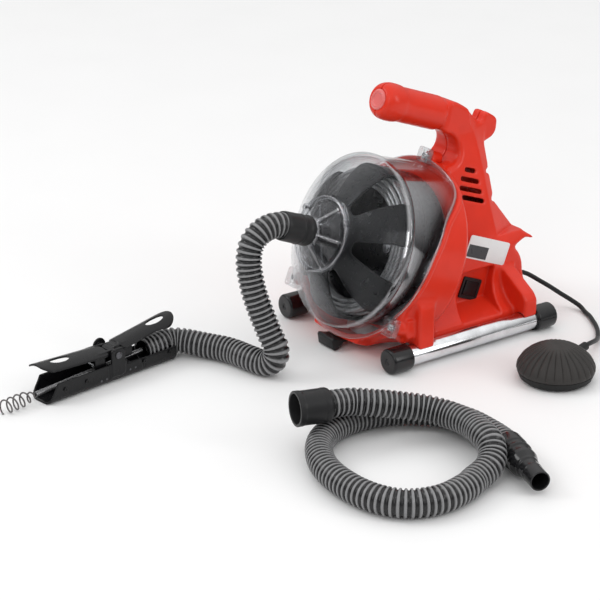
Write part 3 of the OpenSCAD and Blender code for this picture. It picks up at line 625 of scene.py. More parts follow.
GUIDE_ROUTE = [(-80, 16, 171), (-80, 8, 174), (-80, 0, 177.5), (-80, -10, 179.5),
               (-80, -22, 178), (-80, -33, 173), (-80, -42, 164), (-79, -47, 152),
               (-77, -49, 138), (-73, -49, 122), (-68, -48, 106), (-62, -45, 88),
               (-55, -41, 69), (-48, -38, 54), (-42, -35, 41), (-41, -35, 29), (-47, -38, 20),
               (-58, -42, 16), (-73, -46, 16), (-88, -49, 16), (-105, -52, 16),
               (-122, -58, 16), (-138, -67, 16), (-151, -76, 17), (-163, -85, 18),
               (-172, -95, 19), (-175.3, -107, 19.5), (-173.5, -117, 19.5),
               (-172, -126, 19.5), (-170.8, -136, 19.5), (-169.5, -145, 19.5)]
FRONT_ROUTE = [(141, -111, 53), (145, -93, 52.5), (147, -79, 51.5), (150, -65, 50),
               (156, -53, 48.5), (163, -39, 46), (169, -24, 43), (179, -5, 39), (190, 11, 36),
               (205, 22, 33.5), (221, 27, 33), (240, 28, 34), (258, 26, 34), (279, 20, 35),
               (294, 16, 33.5), (303, 11, 29.5), (310, 5, 25), (317, -5, 21), (321, -17, 18),
               (326, -34, 16.2), (333, -52, 16), (338, -87, 16), (328, -119, 16),
               (305, -140, 16), (268, -150, 16), (222, -148, 16), (184, -134, 16),
               (153, -109, 16), (136, -75, 16), (132, -39, 16), (141, -2, 16), (161, 25, 16),
               (184, 45, 16), (214, 55, 16), (245, 56, 16), (266, 54, 16.5),
               (283, 50, 17.4), (300, 44.3, 17.5)]
AIR_ROUTE = [(-28, 332.5, 56), (-28, 342, 56), (-27, 350, 53), (-24, 357, 49), (-18, 365, 43),
             (-9, 377, 34), (-3, 391, 23), (4, 404, 13), (14, 411, 6), (29, 407, 3.3),
             (43, 402, 3.3), (56, 395, 3.3), (70, 387, 3.3), (84, 377, 3.3), (95, 367, 4),
             (104, 358, 5), (112, 348, 8), (119, 337, 11), (125, 326, 14), (130, 315, 16),
             (133, 306, 16)]
RIDGE_PITCH = 6.6
RIDGE_RADIUS = 15.9
VALLEY_RADIUS = 13.7
HOSE_BORE = 12.3
RING_STEPS = 8
HOSE_SIDES = 44


def corrugated(name, route, body, nodes):
    """A ribbed hose along the route, open at both ends, with its path and its length."""
    centres, places = evenly(spline(route, 12), RIDGE_PITCH / RING_STEPS)
    phase = 2 * math.pi * places / RIDGE_PITCH
    ridge = np.clip(0.5 - 0.85 * np.cos(phase), 0, 1)
    ridge = ridge * ridge * (3 - 2 * ridge)
    radii = VALLEY_RADIUS + (RIDGE_RADIUS - VALLEY_RADIUS) * ridge
    # Two more rings at each end turn the wall back inside, two ridges deep
    deep = 2 * RING_STEPS
    order = np.concatenate([[deep, 0], np.arange(len(centres)), [len(centres) - 1, -1 - deep]])
    rings = np.concatenate([[HOSE_BORE, HOSE_BORE], radii, [HOSE_BORE, HOSE_BORE]])
    ridges = np.concatenate([[0, 0], ridge, [0, 0]])
    hose = add_piece(name, sweep(centres, rings, HOSE_SIDES, order), WORLD, hose_grey, body,
                     nodes, sharp=70, values={"ridge": np.repeat(ridges, HOSE_SIDES)})
    return hose, [tuple(p) for p in centres[::4] * MM], places[-1] * MM


guide_hose, guide_path, guide_length = corrugated(
    "guide_hose_ribbed", GUIDE_ROUTE, "root", ["guide_hose"])

front_hose, front_path, front_length = corrugated(
    "front_hose_ribbed", FRONT_ROUTE, "front_guide", ["front_hose"])
front_cuff_shape = lathe(rounded(
    [(17, 0), (20.3, 0), (20.3, 6), (19.7, 8), (19.7, 31), (20.1, 33), (20, 37), (18.5, 40),
     (16.5, 40), (16.5, 23), (16.5, 22)], 0.8))
front_cuff = add_piece("front_hose_cuff_fine", front_cuff_shape, CUFF, cuff_black,
                       "front_guide", ["front_hose_cuff"])
nozzle_shape = lathe(rounded(
    [(16.4, -10), (17.5, -10), (17.5, 7), (16.2, 9), (16, 14), (17.4, 16), (17.4, 19),
     (15.6, 21), (15.6, 27), (16.6, 29), (16.4, 35), (13.4, 43), (13.1, 46), (11.6, 48),
     (11.6, 57), (12.1, 59), (11.6, 61), (11.5, 80), (9.8, 80), (9.8, 9), (16.4, 9)], 0.7))
nozzle = add_piece("front_hose_nozzle_fine", nozzle_shape, NOZZLE, nozzle_black,
                   "front_guide", ["front_hose_nozzle"])

air_centres, air_places = evenly(spline(AIR_ROUTE, 12), 1.5)
air_hose = add_piece("air_hose_fine", sweep(air_centres, 3.0, 24), WORLD, air_hose_black,
                     "root", ["air_hose"])


# ---- Parting line between the shield and the red shroud ----

PARTING_UP = np.array([-140, -60, -20, 15, 60, 92, 140.0])
PARTING_FORWARD = np.array([-22, -23, -28, -33, -50, -82, -82.0])


def parting_at(up):
    """How far forward the parting line is at a height, with its corners eased."""
    shifts = np.linspace(-9, 9, 13)
    return np.mean([np.interp(up + s, PARTING_UP, PARTING_FORWARD) for s in shifts], 0)


def parting_at_field(up):
    """The parting line over a field of heights."""
    table_up = np.linspace(-160, 160, 129)
    return np.interp(up, table_up, parting_at(table_up)).astype(np.float32)


PARTING_LINE = [(u, float(parting_at(u))) for u in np.linspace(-140, 140, 57)]
# The shield's screw lugs: hole, seat, foot of the boss under it, and the lug's two corners
LUGS = {"top": ((0, 124), -81.8, -100, (-10, 115), (10, 134)),
        "right": ((101, -79), -22.6, -50, (89, -91), (112, -67)),
        "left": ((-101, -79), -22.6, -50, (-112, -91), (-89, -67))}
LUG_DEPTH = 11
BOSS_RADIUS = 8.5


# ---- Red drum shroud ----

CUP_BORE = 115.9
CUP_FLOOR = -86


def drum_shroud():
    """A cup behind the drum with a thick rim on the parting line, and its feet on the legs."""
    grid = Grid((-124, -152, 7), (124, 38, 238), 1.3)
    x, y, z = grid.axes
    ax, up, forward = grid.seen_from(TO_AXIS)
    r = np.sqrt(ax ** 2 + up ** 2)
    ahead = outline(PARTING_LINE + [(140, 90), (-140, 90)], up, forward)
    cup = outline([(CUP_BORE, -18), (119, -18), (120, -60), (120, -84), (116, -90), (24, -90),
                   (23, -100), (16.3, -100), (16.3, CUP_FLOOR), (CUP_BORE, CUP_FLOOR)],
                  r, forward)
    rim = common(slab(r, CUP_BORE, 121.2), slab(forward - parting_at_field(up), -6, 0), 1.5)
    cup = join(cup, rim, 1.5)
    space = common(r - CUP_BORE - 0.2, CUP_FLOOR - forward)
    sides = np.abs(x)
    saddle = common(outline(rounded([(62, 20), (62, 110), (97, 96), (112, 88), (118, 78),
                                     (118, 16), (98, 16), (96, 28)], 3, 2), sides, z),
                    slab(y, -91, -66), 4)
    apron = common(outline([(30, 9), (30, 70), (104, 70), (104, 32.6), (84, 34), (62, 24),
                            (40, 9)], sides, z), slab(y, -108, -88), 3)
    belly = common(outline([(-132, 17), (-114, 9), (-62, 9), (-62, 30), (-132, 30)], y, z),
                   sides - 45, 4)
    rib = common(outline([(84, 30), (84, 70), (110, 62), (110, 40), (98, 28)], sides, z),
                 slab(y, -104, -88), 3)
    feet = join(join(join(saddle, apron, 5), belly, 5), rib, 3)
    feet = cut(feet, space)
    feet = cut(feet, forward + 90, 1)
    body = join(cup, feet, 6)
    for hole, seat, foot, _, _ in LUGS.values():
        boss = common(disc(ax, up, BOSS_RADIUS, hole), slab(forward, foot, seat - 0.6), 1.5)
        body = join(body, cut(boss, space), 4)
    body = cut(body, ahead, 0.8)
    body = cut(body, disc(sides, z, LEG_BORE, LEG_AT) + 0 * y)
    body = common(body, UNDERSIDE - z, 1)
    add_piece("drum_shroud_moulded", grid.contour(body), MACHINE, red_housing, "root",
              ["drum_housing"], sharp=60)


drum_shroud()


# ---- Red motor housing, two halves ----

TOWER_SIDE = [(-62, 9), (18, 213), (33, 214), (42, 224), (43, 236), (38, 248), (18, 257),
              (32, 295), (45, 290), (61, 280), (82, 257), (88, 252), (90, 246), (89, 200),
              (82, 198), (82, 195), (88, 193), (88, 167), (83, 164), (83, 160), (88, 159),
              (125, 116), (137, 108), (136, 105), (124, 109), (104, 101), (113, 92),
              (119, 78), (119, 9)]
TOWER_FRONT = [(-40, 9), (60, 9), (64, 20), (98, 20), (99, 32), (84, 42), (74, 54), (69, 68),
               (69, 108), (60, 122), (48, 163), (35, 201), (25, 235), (21, 250), (20, 330),
               (-40, 330)]
POCKET = [(-8, 24), (56, 24), (70, 84), (16, 84)]
POCKET_FLOOR = 59.1
POCKET_SILL = 42
# Centre and length of each cooling slot along the tower side, from the top one down
VENTS = [(54, 16), (51, 28), (49.5, 34), (50.5, 34)]
VENT_TOP, VENT_PITCH, VENT_HALF = 204, 11.5, 2.4
VENT_TILT = math.radians(-19)
# The tower's side turns in behind a crease, given at these heights with its lean
CREASE, CREASE_HEIGHT, CREASE_LEAN = 78, 130, 0.07
FLANK, FLANK_HEIGHT, FLANK_LEAN, FLANK_TURN = 60, 122, 0.31, 0.5
CREASE_FOOT = 119.5
AIR_PORT, CORD_PORT = (52, 56), (40, 30)
INLAY_RADIUS, INLAY_AT = 13, 9.8
SKIN = 3.0
SEAM = 0.12


def grown(points, rim):
    """An outline's corners moved out from its middle by about rim."""
    middle = np.mean(points, 0)
    return [tuple(p + np.sign(p - middle) * rim) for p in np.array(points, float)]


def housing_half(side_name, switch_side):
    """Half of the hollow tower, grip and feet; the left half is the right one mirrored."""
    grid = Grid((-3, -100, 7), (120.5, 139, 331), 1.25)
    x, y, z = grid.axes
    gx, gup, gz = grid.seen_from(TO_GRIP)
    ax, up, forward = grid.seen_from(TO_AXIS)
    side = outline(rounded(TOWER_SIDE, 6, 2), y, z)
    front = outline(rounded(TOWER_FRONT, 7, 2), x, z)
    tower = common(side, front, 7)
    grip_r = np.sqrt(gx ** 2 + gup ** 2)
    grip = outline(rounded([(-30, -88), (21.8, -88), (21.8, -22), (23.4, -16), (23.7, -3),
                            (21.5, 6), (16, 11.5), (-30, 11.5)], 5, 3), grip_r, gz)
    nub = common(outline(rounded([(70, 246), (90, 256), (95, 266), (99, 267), (112, 259),
                                  (115.5, 254), (114, 240), (108, 233), (88, 226),
                                  (70, 226)], 3.5, 3), y, z), np.abs(x) - 12.5, 4)
    foot = common(outline(rounded([(60, 40), (60, 82), (69, 80), (112, 55), (118, 47),
                                   (118, 16), (98, 16), (90, 26)], 3, 2), x, z),
                  slab(y, 80, 101), 4)
    crease = CREASE - CREASE_LEAN * (z - CREASE_HEIGHT)
    flank = x - (FLANK - FLANK_LEAN * (z - FLANK_HEIGHT)) + FLANK_TURN * (y - crease)
    tower = cut(tower, common(-flank, common(CREASE_FOOT - z, crease - 6 - y)), 0.6)
    solid = join(join(join(tower, grip, 4), nub, 7), foot, 5)
    body = np.maximum(solid, -(solid + SKIN))
    if switch_side:
        sill = POCKET_SILL - 0.3 * (x - POCKET_FLOOR) - z
        well = common(common(outline(rounded(grown(POCKET, 3), 4, 3), y, z),
                             POCKET_FLOOR - 3 - x, 1), sill - 3, 2)
        body = join(body, common(well, solid), 1)
        hollow = common(common(outline(rounded(POCKET, 4, 3), y, z), POCKET_FLOOR - x),
                        sill, 3)
        body = cut(body, hollow, 2)
        body = cut(body, box(ax, up, forward, (50, -32.5, -178.5), (80, -8.5, -151.5)))
        plate = common(common(slab(up, 18.3, 48.5), slab(forward, -200.2, -129.8), 3),
                       68.4 - ax)
        body = cut(body, plate, 0.5)
    for i, (centre, length) in enumerate(VENTS):
        back, high = y - centre, z - VENT_TOP + VENT_PITCH * i
        along = back * math.cos(VENT_TILT) + high * math.sin(VENT_TILT)
        over = high * math.cos(VENT_TILT) - back * math.sin(VENT_TILT)
        vent = common(slab(along, -length / 2, length / 2), slab(over, -VENT_HALF, VENT_HALF),
                      VENT_HALF)
        body = cut(body, common(vent, 8 - x), 2)
    body = cut(body, common(disc(ax, up, 120.5), -90.3 - forward), 1)
    top_boss = disc(ax, up, BOSS_RADIUS + 0.5, LUGS["top"][0])
    body = cut(body, common(top_boss, slab(forward, -100.3, -60)))
    body = cut(body, disc(x, z, LEG_BORE, LEG_AT) + 0 * y)
    body = cut(body, common(grip_r - INLAY_RADIUS - 0.2, INLAY_AT - 0.1 - gz), 0.8)
    body = common(body, SEAM - x, 0.6)
    body = common(body, UNDERSIDE - z, 1)
    port = disc(x, z, 5.2, AIR_PORT) if switch_side else disc(x, z, 7.2, CORD_PORT)
    body = cut(body, common(port, 105 - y))
    points, faces = grid.contour(body)
    if not switch_side:
        points, faces = points * (-1, 1, 1), faces[:, ::-1]
    node = "motor_housing_" + side_name
    add_piece(node + "_moulded", (points, faces), MACHINE, red_housing, "root", [node],
              sharp=60)


housing_half("right", True)
housing_half("left", False)

inlay = lathe(rounded([(0, 0), (INLAY_RADIUS, 0), (INLAY_RADIUS, 1.6), (10.6, 3.3), (8.4, 3.3),
                       (7.4, 2.1), (0, 2.1)], [0, 0, 0.8, 0.8, 0.4, 0.4, 0]))
add_piece("handle_end_cap_fine", inlay, MACHINE @ TO_GRIP @ shift(0, 0, INLAY_AT), red_gloss,
          "root", ["handle_end_cap"], weld=True)


# ---- Clear shield and nose hub ----

def shield_mesh(segments=240):
    """The shield's closed section at each angle, with its flange on the parting line, and how
    pale each point is: the front ring, the flange's rim and the mouth are thick edges."""
    rings, edges = [], []
    for angle in round_angles(segments):
        up = 113 * math.sin(angle)
        base = float(parting_at(up)) + 0.25
        slope = abs(float(parting_at(up + 1) - parting_at(up - 1))) / 2
        top = base + 3 * math.sqrt(1 + min(slope, 1.2) ** 2)
        skirt = [108.8 + 0.0713 * (-6 - h) for h in (top, base)]
        profile = [(43, 46.5), (50, 45.5), (107, 4), (110.5, 1), (110.5, -4), (108.8, -6),
                   (skirt[0], top), (121, top), (121, base), (skirt[1] - 3, base),
                   (105.8, -6), (105.8, 0), (48, 42.5), (43, 43.5)]
        section = rounded(profile, [0.6, 3, 5, 2.5, 1.2, 1.2, 2.5, 0.9, 0.9, 0.5, 2, 3, 3, 0.6])
        ring = np.clip(1 - np.abs(section[:, 0] - 109) / 3, 0, 1) * (section[:, 1] > -9)
        rim = np.clip((section[:, 0] - 119) / 2, 0, 1)
        mouth = np.clip((48 - section[:, 0]) / 4, 0, 1)
        edges.append(np.maximum(np.maximum(ring, 0.8 * rim), 0.6 * mouth))
        rings.append(np.stack([section[:, 0] * math.cos(angle),
                               section[:, 0] * math.sin(angle), section[:, 1]], 1))
    faces = grid_faces(segments, len(rings[0]), close_rows=True)
    return (*outward(np.concatenate(rings), faces), np.concatenate(edges))


*shield, shield_edges = shield_mesh()
add_piece("shield_moulded", shield, AXIS, clear_shield, "root", ["shield"],
          values={"edge": shield_edges})


def shield_lugs():
    """Clear screw lugs on the shield's flange: blocks with a pocket round the screw."""
    for name, (hole, seat, _, near, far) in LUGS.items():
        low, high = (*near, seat), (*far, seat + LUG_DEPTH)
        grid = Grid(np.array(low) - 3, np.array(high) + 3, 0.8)
        u, v, w = grid.axes
        field = box(u, v, w, low, high, 3)
        pocket = box(u, v, w, (hole[0] - 7, hole[1] - 7, low[2] + 4),
                     (hole[0] + 7, hole[1] + 7, high[2] + 9), 3)
        field = cut(field, pocket, 1)
        field = cut(field, disc(u, v, 2.3, hole) + 0 * w)
        field = cut(field, disc(u, v, 105.9 if name == "top" else 111.5) + 0 * w)
        points, faces = grid.contour(field)
        inside = np.min([points - np.array(low), np.array(high) - points], 0)
        corner = np.sort(inside, 1)[:, 1]
        add_piece("shield_lug_" + name, (points, faces), AXIS, clear_hub, "root",
                  values={"edge": np.clip(1.3 - corner / 2, 0.35, 1)})


shield_lugs()


def nose_hub():
    """The clear hub: a stepped cone with ribs and screw bosses, and the hose tube."""
    grid = Grid((-50, -50, 41), (50, 50, 94), 0.8)
    u, v, w = grid.axes
    r = np.sqrt(u ** 2 + v ** 2)
    skin = outline([(42.8, 43.5), (42.8, 46.8), (47.8, 46.8), (47.8, 50.5), (42, 51.5),
                    (30, 60), (19, 66.5), (15.8, 69), (15.8, 91), (13, 91), (13, 64), (28, 56.5),
                    (38, 49), (38, 43.5)], r, w) + 0.2
    along, across = spokes(u, v, 6, 0)
    ribs = common(common(slab(along, 14, 40), slab(across, -1.3, 1.3), 0.8),
                  outline([(14, 47), (40, 47), (40, 53), (16, 72), (14, 72)], along, w), 0.8)
    along, across = spokes(u, v, 3, 30)
    bosses = common(disc(along, across, 4.4, (45.3, 0)), slab(w, 47, 53.4), 0.8)
    lip = common(slab(r, 13, 17), slab(w, 72.5, 75.5), 1)
    skin = join(join(join(skin, ribs, 1.2), bosses, 1.2), lip, 1)
    skin = cut(skin, (r - 13) + 0 * w)
    points, faces = grid.contour(skin)
    reach = np.hypot(points[:, 0], points[:, 1])
    edge = np.maximum(np.clip((reach - 44) / 3, 0, 1), np.clip((20 - reach) / 4, 0, 1))
    turned = np.arctan2(points[:, 1], points[:, 0]) % (math.pi / 3)
    off_rib = reach * np.minimum(turned, math.pi / 3 - turned)
    edge = np.maximum(edge, np.clip(2.2 - off_rib, 0, 1)) * 0.75
    add_piece("nose_hub_moulded", (points, faces), AXIS, clear_hub, "root", ["nose_hub"],
              sharp=60, values={"edge": edge})


nose_hub()
refined("hub_screws", dark_screws, 0.3)
refined("shield_screws", steel_screws, 0.4)

cuff = lathe(rounded(
    [(15.6, 70), (18.4, 70), (19.2, 72), (19.2, 76), (18.6, 78), (18.6, 84), (19.0, 85),
     (19.0, 87), (18.5, 88), (18.3, 108), (17.6, 112), (16.1, 112), (16.1, 93), (15.6, 92)], 0.7))
add_piece("guide_hose_cuff_fine", cuff, AXIS, cuff_black, "root", ["guide_hose_cuff"])


# ---- Drum ----

def drum_front():
    """The drum's front shell, with a window between each two of its six spokes."""
    grid = Grid((-99.5, -99.5, -36), (99.5, 99.5, 60), 1.1)
    u, v, w = grid.axes
    r = np.sqrt(u ** 2 + v ** 2)
    shell = outline([(98, -34), (98, -5), (94, 3), (84, 13), (68, 23.5), (50, 31), (34, 35),
                     (16, 37), (11, 40), (11, 58), (8, 58), (8, 37), (14, 34), (34, 32),
                     (49, 28), (66, 20.5), (82, 10), (90, 2), (95, -6), (95, -34)], r, w)
    along, across = spokes(u, v, 6, -2)
    window = outline(rounded([(42, -10), (44, 5), (47, 8), (100, 25), (125, 26),
                              (125, -26)], 5, 3), along, np.abs(across))
    window = common(window, -28 - w, 3)
    shell = cut(shell, window, 1.8)
    add_piece("drum_front_moulded", grid.contour(shell, relax=3), AXIS, drum_black, "drum",
              ["drum_front"], sharp=60)


drum_front()
refined("drum_back", drum_black, 0.6)
refined("drum_screws", steel_screws, 0.3)


def coil_route():
    """Turns of cable packed in the drum, layer by layer, from the inside out and back."""
    turns_a_layer, pitch, inner = 3.1, 6.4, 72.2
    centres = []
    for layer, height in enumerate((-24, -18, -12, -7)):
        for t in np.linspace(0, 1, int(72 * turns_a_layer)):
            out = t if layer % 2 == 0 else 1 - t
            radius = inner + out * turns_a_layer * pitch * 0.9
            angle = 2 * math.pi * (turns_a_layer * (layer + t))
            centres.append((radius * math.cos(angle), radius * math.sin(angle), height))
    return np.array(centres)


def cable(name, route, spacing, sides, matrix, body, nodes=()):
    """A length of cable, which carries its own length for the turns of its wire."""
    centres, places = evenly(np.asarray(route, float), spacing)
    add_piece(name, sweep(centres, CABLE_RADIUS, sides), matrix, cable_steel, body, nodes,
              sharp=70, values={"along": np.repeat(places, sides)})


cable("cable_coil_wound", coil_route(), 6, 12, AXIS, "drum", ["cable_coil"])
cable("cable_in_nose", [(0, 0, 24), (0, 0, 90)], 3, 16, AXIS, "drum")

for node in ("drum_shaft", "front_bearing", "rear_bearing", "motor_shaft"):
    refined(node, bearing_steel, 0.5)
for node in ("drum_pulley", "motor_pulley", "motor_plate"):
    refined(node, pulley_metal, 0.4)
refined("motor", motor_case, 1.2, 3)
refined("drive_belt", belt_rubber, 0.5)
refined("air_switch", black_plastic, 0.6)


# ---- Legs and base ----

TUBE_RADIUS, TUBE_BORE, TUBE_HALF, CAP_END = 12.7, 11.1, 128, 132
leg_tube = lathe(rounded([(TUBE_RADIUS, -TUBE_HALF), (TUBE_RADIUS, TUBE_HALF),
                          (TUBE_BORE, TUBE_HALF), (TUBE_BORE, -TUBE_HALF)], 0.4, 2), 72)
leg_cap = lathe(rounded(
    [(0, 1.4), (3.4, 1.4), (4.2, 0), (14.2, 0), (16, 2.2), (16, 28.9), (15.2, 30.5),
     (LEG_BORE, 30.5), (LEG_BORE, 4), (0, 4)], [0, 0.6, 0.8, 1.4, 1.6, 0.8, 0.5, 0.4, 0.4, 0]), 72)
for side, sign in (("right", 1), ("left", -1)):
    middle = MACHINE @ shift(sign * LEG_AT[0], 0, LEG_AT[1])
    node = "leg_tube_" + side
    add_piece(node + "_fine", leg_tube, middle @ turn(90, "X"), zinc_tube, "root", [node])
    for end, back in (("front", -1), ("rear", 1)):
        cap_end = middle @ shift(0, back * CAP_END, 0) @ turn(90 * back, "X")
        node = "leg_cap_" + end + "_" + side
        add_piece(node + "_fine", leg_cap, cap_end, cap_black, "root", [node], weld=True)
refined("leg_screws", dark_screws, 0.5)
refined("base_plate", black_plastic, 0.5)
refined("front_foot", black_plastic, 1.0, 3)
refined("housing_screws", steel_screws, 0.3)


# ---- Switch, plate and rear fittings ----

refined("switch_bezel", black_plastic, 0.7, 3)
refined("rocker_switch", black_gloss, 0.5, 3)
refined("rating_plate", plate_white, 0.15)
refined("air_fitting", black_plastic, 0.4)
refined("cord_gland", black_rubber, 0.6)


def box_mesh(low, high):
    """Points and faces of a plain box."""
    ends = low, high
    points = np.array([(ends[i][0], ends[j][1], ends[k][2])
                       for i in (0, 1) for j in (0, 1) for k in (0, 1)], float)
    faces = np.array([(0, 1, 3, 2), (4, 6, 7, 5), (0, 4, 5, 1), (2, 3, 7, 6), (0, 2, 6, 4),
                      (1, 5, 7, 3)])
    return outward(points, faces)


# A plain dark field on the blank plate
add_piece("rating_plate_field", box_mesh((69.13, 20.5, -166), (69.3, 36.5, -131.8)), AXIS,
          plate_grey, "root")


# ---- Feed device ----

PIN_BORE = 3.1
LEVER_THICKNESS = 2.8
LEVER_CROWN = 5.4


def feed_body():
    """A U of sheet with a slanted front end, ears round the pivot and grooves down its sides."""
    grid = Grid((-3, -24, -2), (201, 24, 46), 0.75)
    x, y, z = grid.axes
    section = [(-19, 25), (-19, 0), (19, 0), (19, 25), (16.4, 25), (16.4, 2.6), (-16.4, 2.6),
               (-16.4, 25)]
    trough = common(outline(rounded(section, [0.6, 11, 11, 0.6, 0.6, 9, 9, 0.6], 6), y, z),
                    slab(x, 0, 198), 1.2)
    front = outline(rounded([(176, 40), (184, 20), (198.5, -3), (215, -3), (215, 40)],
                            [0, 9, 0, 0, 0]), x, z)
    trough = cut(trough, front + 0 * y, 1)
    trough = cut(trough, box(x, y, z, (-5, -30, 20), (77, 30, 40)), 3)
    for s in (-1, 1):
        sheet = slab(s * y, 16.5, 19.1)
        if s < 0:
            ear = join(common(slab(x, 83, 101), slab(z, 20, 34)), disc(x, z, 9.5, (92, 36)), 1)
        else:
            ear = common(slab(x, 81.5, 102.5), slab(z, 8, 43.5), 6)
            sheet = slab(y, 16.5, 20.2)
        trough = join(trough, common(ear, sheet, 0.8), 0.8)
        for place_x in (51, 54, 106):
            groove = common(common(slab(x, place_x - 0.8, place_x + 0.8), slab(z, -3, 30)),
                            18.2 - s * y)
            trough = cut(trough, groove, 0.8)
    trough = cut(trough, disc(x, z, PIN_BORE, PIVOT_AT) + 0 * y)
    add_piece("feed_body_moulded", grid.contour(trough), FEED, feed_black, "root",
              ["feed_body"], sharp=60)


def saddle_plate(v, w, half, shape):
    """A plate curved over the device, with a rounded outline."""
    crown = w + LEVER_CROWN * (v / half) ** 2
    return common(slab(crown, -LEVER_THICKNESS, 0), shape, 1.6)


def oval(u, v, at, length, width):
    """Distance to an ellipse, near enough round its edge."""
    around = np.sqrt(((u - at) * 2 / length) ** 2 + (v * 2 / width) ** 2)
    return (around - 1) * width / 2


def advance_lever():
    """The long front lever, with a chamfered end, an oval hole and two arms on the pin."""
    grid = Grid((-9, -21, -16), (111, 21, 18), 0.7)
    x, y, z = grid.axes
    u, v, w = grid.seen_from(turn(-3.2, "Y") @ shift(10.5, 0, 7))
    shape = outline(rounded([(0, -17.5), (96, -17.5), (96, 8), (86.5, 17.5), (0, 17.5)],
                            [6, 3, 5, 6, 6], 4), u, v)
    plate = saddle_plate(v, w, 17.5, shape)
    plate = cut(plate, oval(u, v, 63, 26, 13) + 0 * w, 1.5)
    for s in (-1, 1):
        y_in = slab(y, s * 11.2 - 1.9, s * 11.2 + 1.9)
        arm = join(common(disc(x, z, 5.6), y_in, 0.6),
                   common(common(slab(x, 0, 24), slab(z, -2, 6)), y_in, 0.6), 1)
        arm = join(arm, common(common(slab(x, 14, 30), slab(z, -13, 5)), y_in, 0.6), 1)
        plate = join(plate, arm, 1.5)
    plate = cut(plate, disc(x, z, PIN_BORE) + 0 * y)
    add_piece("advance_lever_moulded", grid.contour(plate), PIVOT, feed_black, "advance",
              ["advance_lever"], sharp=60)


def retract_lever():
    """The rear lever, with a round end, an oval hole and a hub between the other's arms."""
    grid = Grid((-104, -20, -16), (9, 20, 28), 0.7)
    x, y, z = grid.axes
    u, v, w = grid.seen_from(turn(9, "Y") @ shift(-84, 0, 7.5))
    shape = join(outline(rounded([(0, -15), (72, -16.3), (72, 16.3), (0, 15)], 5, 4), u, v),
                 disc(u, v, 16.3), 12)
    plate = saddle_plate(v, w, 16.3, shape)
    plate = cut(plate, oval(u, v, 10, 26, 12) + 0 * w, 1.5)
    hub = join(common(disc(x, z, 5.6), slab(y, -8.8, 8.8), 0.8),
               box(x, y, z, (-20, -8.8, -1), (-2, 8.8, 7), 0.8), 1.5)
    plate = join(plate, hub, 2)
    for s in (-1, 1):
        arm = box(x, y, z, (-30, s * 7 - 1.9, -12), (-14, s * 7 + 1.9, 8.6), 0.8)
        plate = join(plate, arm, 1.5)
    plate = cut(plate, disc(x, z, PIN_BORE) + 0 * y)
    add_piece("retract_lever_moulded", grid.contour(plate), PIVOT, feed_black, "retract",
              ["retract_lever"], sharp=60)


feed_body()
advance_lever()
retract_lever()
refined("lever_pin", dark_screws, 0.3)
refined("lower_rollers", dark_screws, 0.3)
for node in ("advance_rollers", "retract_rollers"):
    refined(node, bearing_steel, 0.3)
refined("lever_springs", steel_screws, 0.15)
refined("feed_screws", feed_black, 0.3)


# ---- Cable end ----

cable("cable_lead_wound", [(0, 0, 0.6), (0, 0, 162)], 3, 24, LEAD, "cable_end",
      ["cable_lead"])


def helix(radius, turns, low, high, count):
    """Points up a helix, whose radius is one number or one for each point."""
    t = np.linspace(0, 1, count)
    angle = 2 * math.pi * turns * t
    return np.stack([radius * np.cos(angle), radius * np.sin(angle), low + (high - low) * t], 1)


def tip_route():
    """The open helix of the cable's end, which widens over its first half."""
    opened = np.minimum(1, np.linspace(0, 1, 241) * 2.2)
    return helix(2.4 + 5.8 * np.sin(math.pi / 2 * opened), 5, 163, 209, 241)


tip_centres = tip_route()
# The wire is blunted at both ends
tip_radii = np.full(len(tip_centres), 0.98)
tip_radii[[0, -1]] = 0.3
add_piece("cable_tip_wound", sweep(tip_centres, tip_radii, 12), LEAD, tip_steel, "cable_end",
          ["cable_tip"], sharp=70)


# ---- Foot pedal ----

PEDAL_GROOVES = 28
GROOVE_DEPTH = 1.7


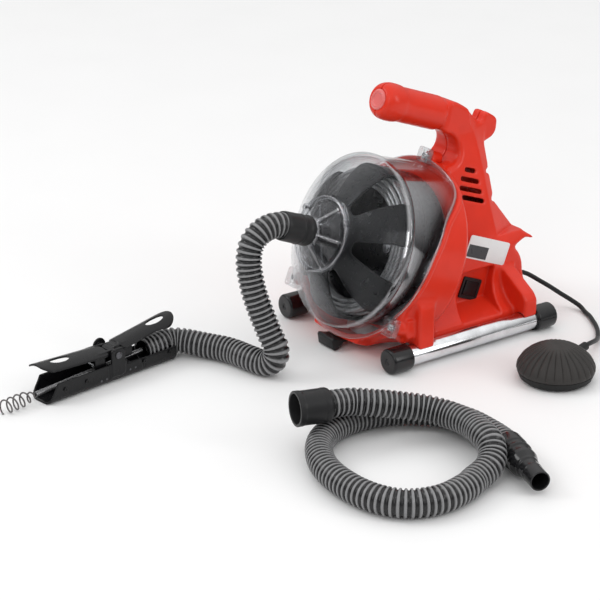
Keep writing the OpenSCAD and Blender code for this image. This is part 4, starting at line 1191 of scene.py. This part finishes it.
def dome_mesh(segments=336):
    """The bellows dome: a rounded cap with radial grooves that fade out at the crown."""
    outer = [(46.2, 11.6), (47.9, 14), (48, 17.5), (46.8, 21), (44.6, 25.2), (41.6, 29.4),
             (37.6, 33.2), (33, 36.6), (27.6, 40), (21.5, 42.8), (15, 44.6), (9, 45.2),
             (4.5, 45.3), (0.02, 45.3)]
    inner = [(0.02, 42.2), (13, 42), (22, 39), (32, 33), (39, 27), (43.5, 20), (44.6, 17),
             (44.3, 12)]
    fine = []
    for (r0, h0), (r1, h1) in zip(outer, outer[1:]):
        fine += [(r0 + (r1 - r0) * t, h0 + (h1 - h0) * t) for t in (0, 1 / 3, 2 / 3)]
    profile = np.array(fine + [outer[-1]] + inner)
    smooth = profile.copy()
    last = len(fine)
    for _ in range(3):
        smooth[1:last] = (smooth[:last - 1] + 2 * smooth[1:last] + smooth[2:last + 1]) / 4
    angles = round_angles(segments)
    wave = np.abs(np.cos(angles * PEDAL_GROOVES / 2)) ** 0.55
    rows = []
    for index, (radius, height) in enumerate(smooth):
        depth = 0.0
        if index <= last:
            outwards, upwards = (radius - 15) / 12, (height - 14) / 5
            depth = GROOVE_DEPTH * np.clip(outwards, 0, 1) * np.clip(upwards, 0, 1)
        r = radius - depth * (1 - wave) * 0.75
        z = np.full(segments, height) - depth * (1 - wave) * 0.65
        rows.append(np.stack([r * np.cos(angles), r * np.sin(angles), z], 1))
    return outward(np.concatenate(rows), grid_faces(len(rows), segments, close_rows=True))


dome = add_piece("pedal_dome_moulded", dome_mesh(), PEDAL, pedal_rubber, "root",
                 ["pedal_dome"], sharp=50, weld=True)
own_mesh(dome)


spring = add_piece("pedal_spring_wound", sweep(helix(7.75, 6, 5.2, 33.2, 145), 0.9, 8),
                   PEDAL, bearing_steel, "root", ["pedal_spring"], sharp=70)
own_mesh(spring)
refined("pedal_spring_cup", black_plastic, 0.5)
refined("pedal_base", black_rubber, 0.9, 3)


# ---- Floor ----

floor_mesh = bpy.data.meshes.new("floor")
floor_mesh.from_pydata([(-8, -8, 0), (8, -8, 0), (8, 8, 0), (-8, 8, 0)], [], [(0, 1, 2, 3)])
floor = stand("floor", floor_mesh)
floor.location = (0, 0, -0.0002)
floor_finish = Finish("floor_white", (0.90, 0.90, 0.90), 0.55)
floor_finish.vary_roughness(floor_finish.noise(8), 0.05)
floor_mesh.materials.append(floor_finish.material)
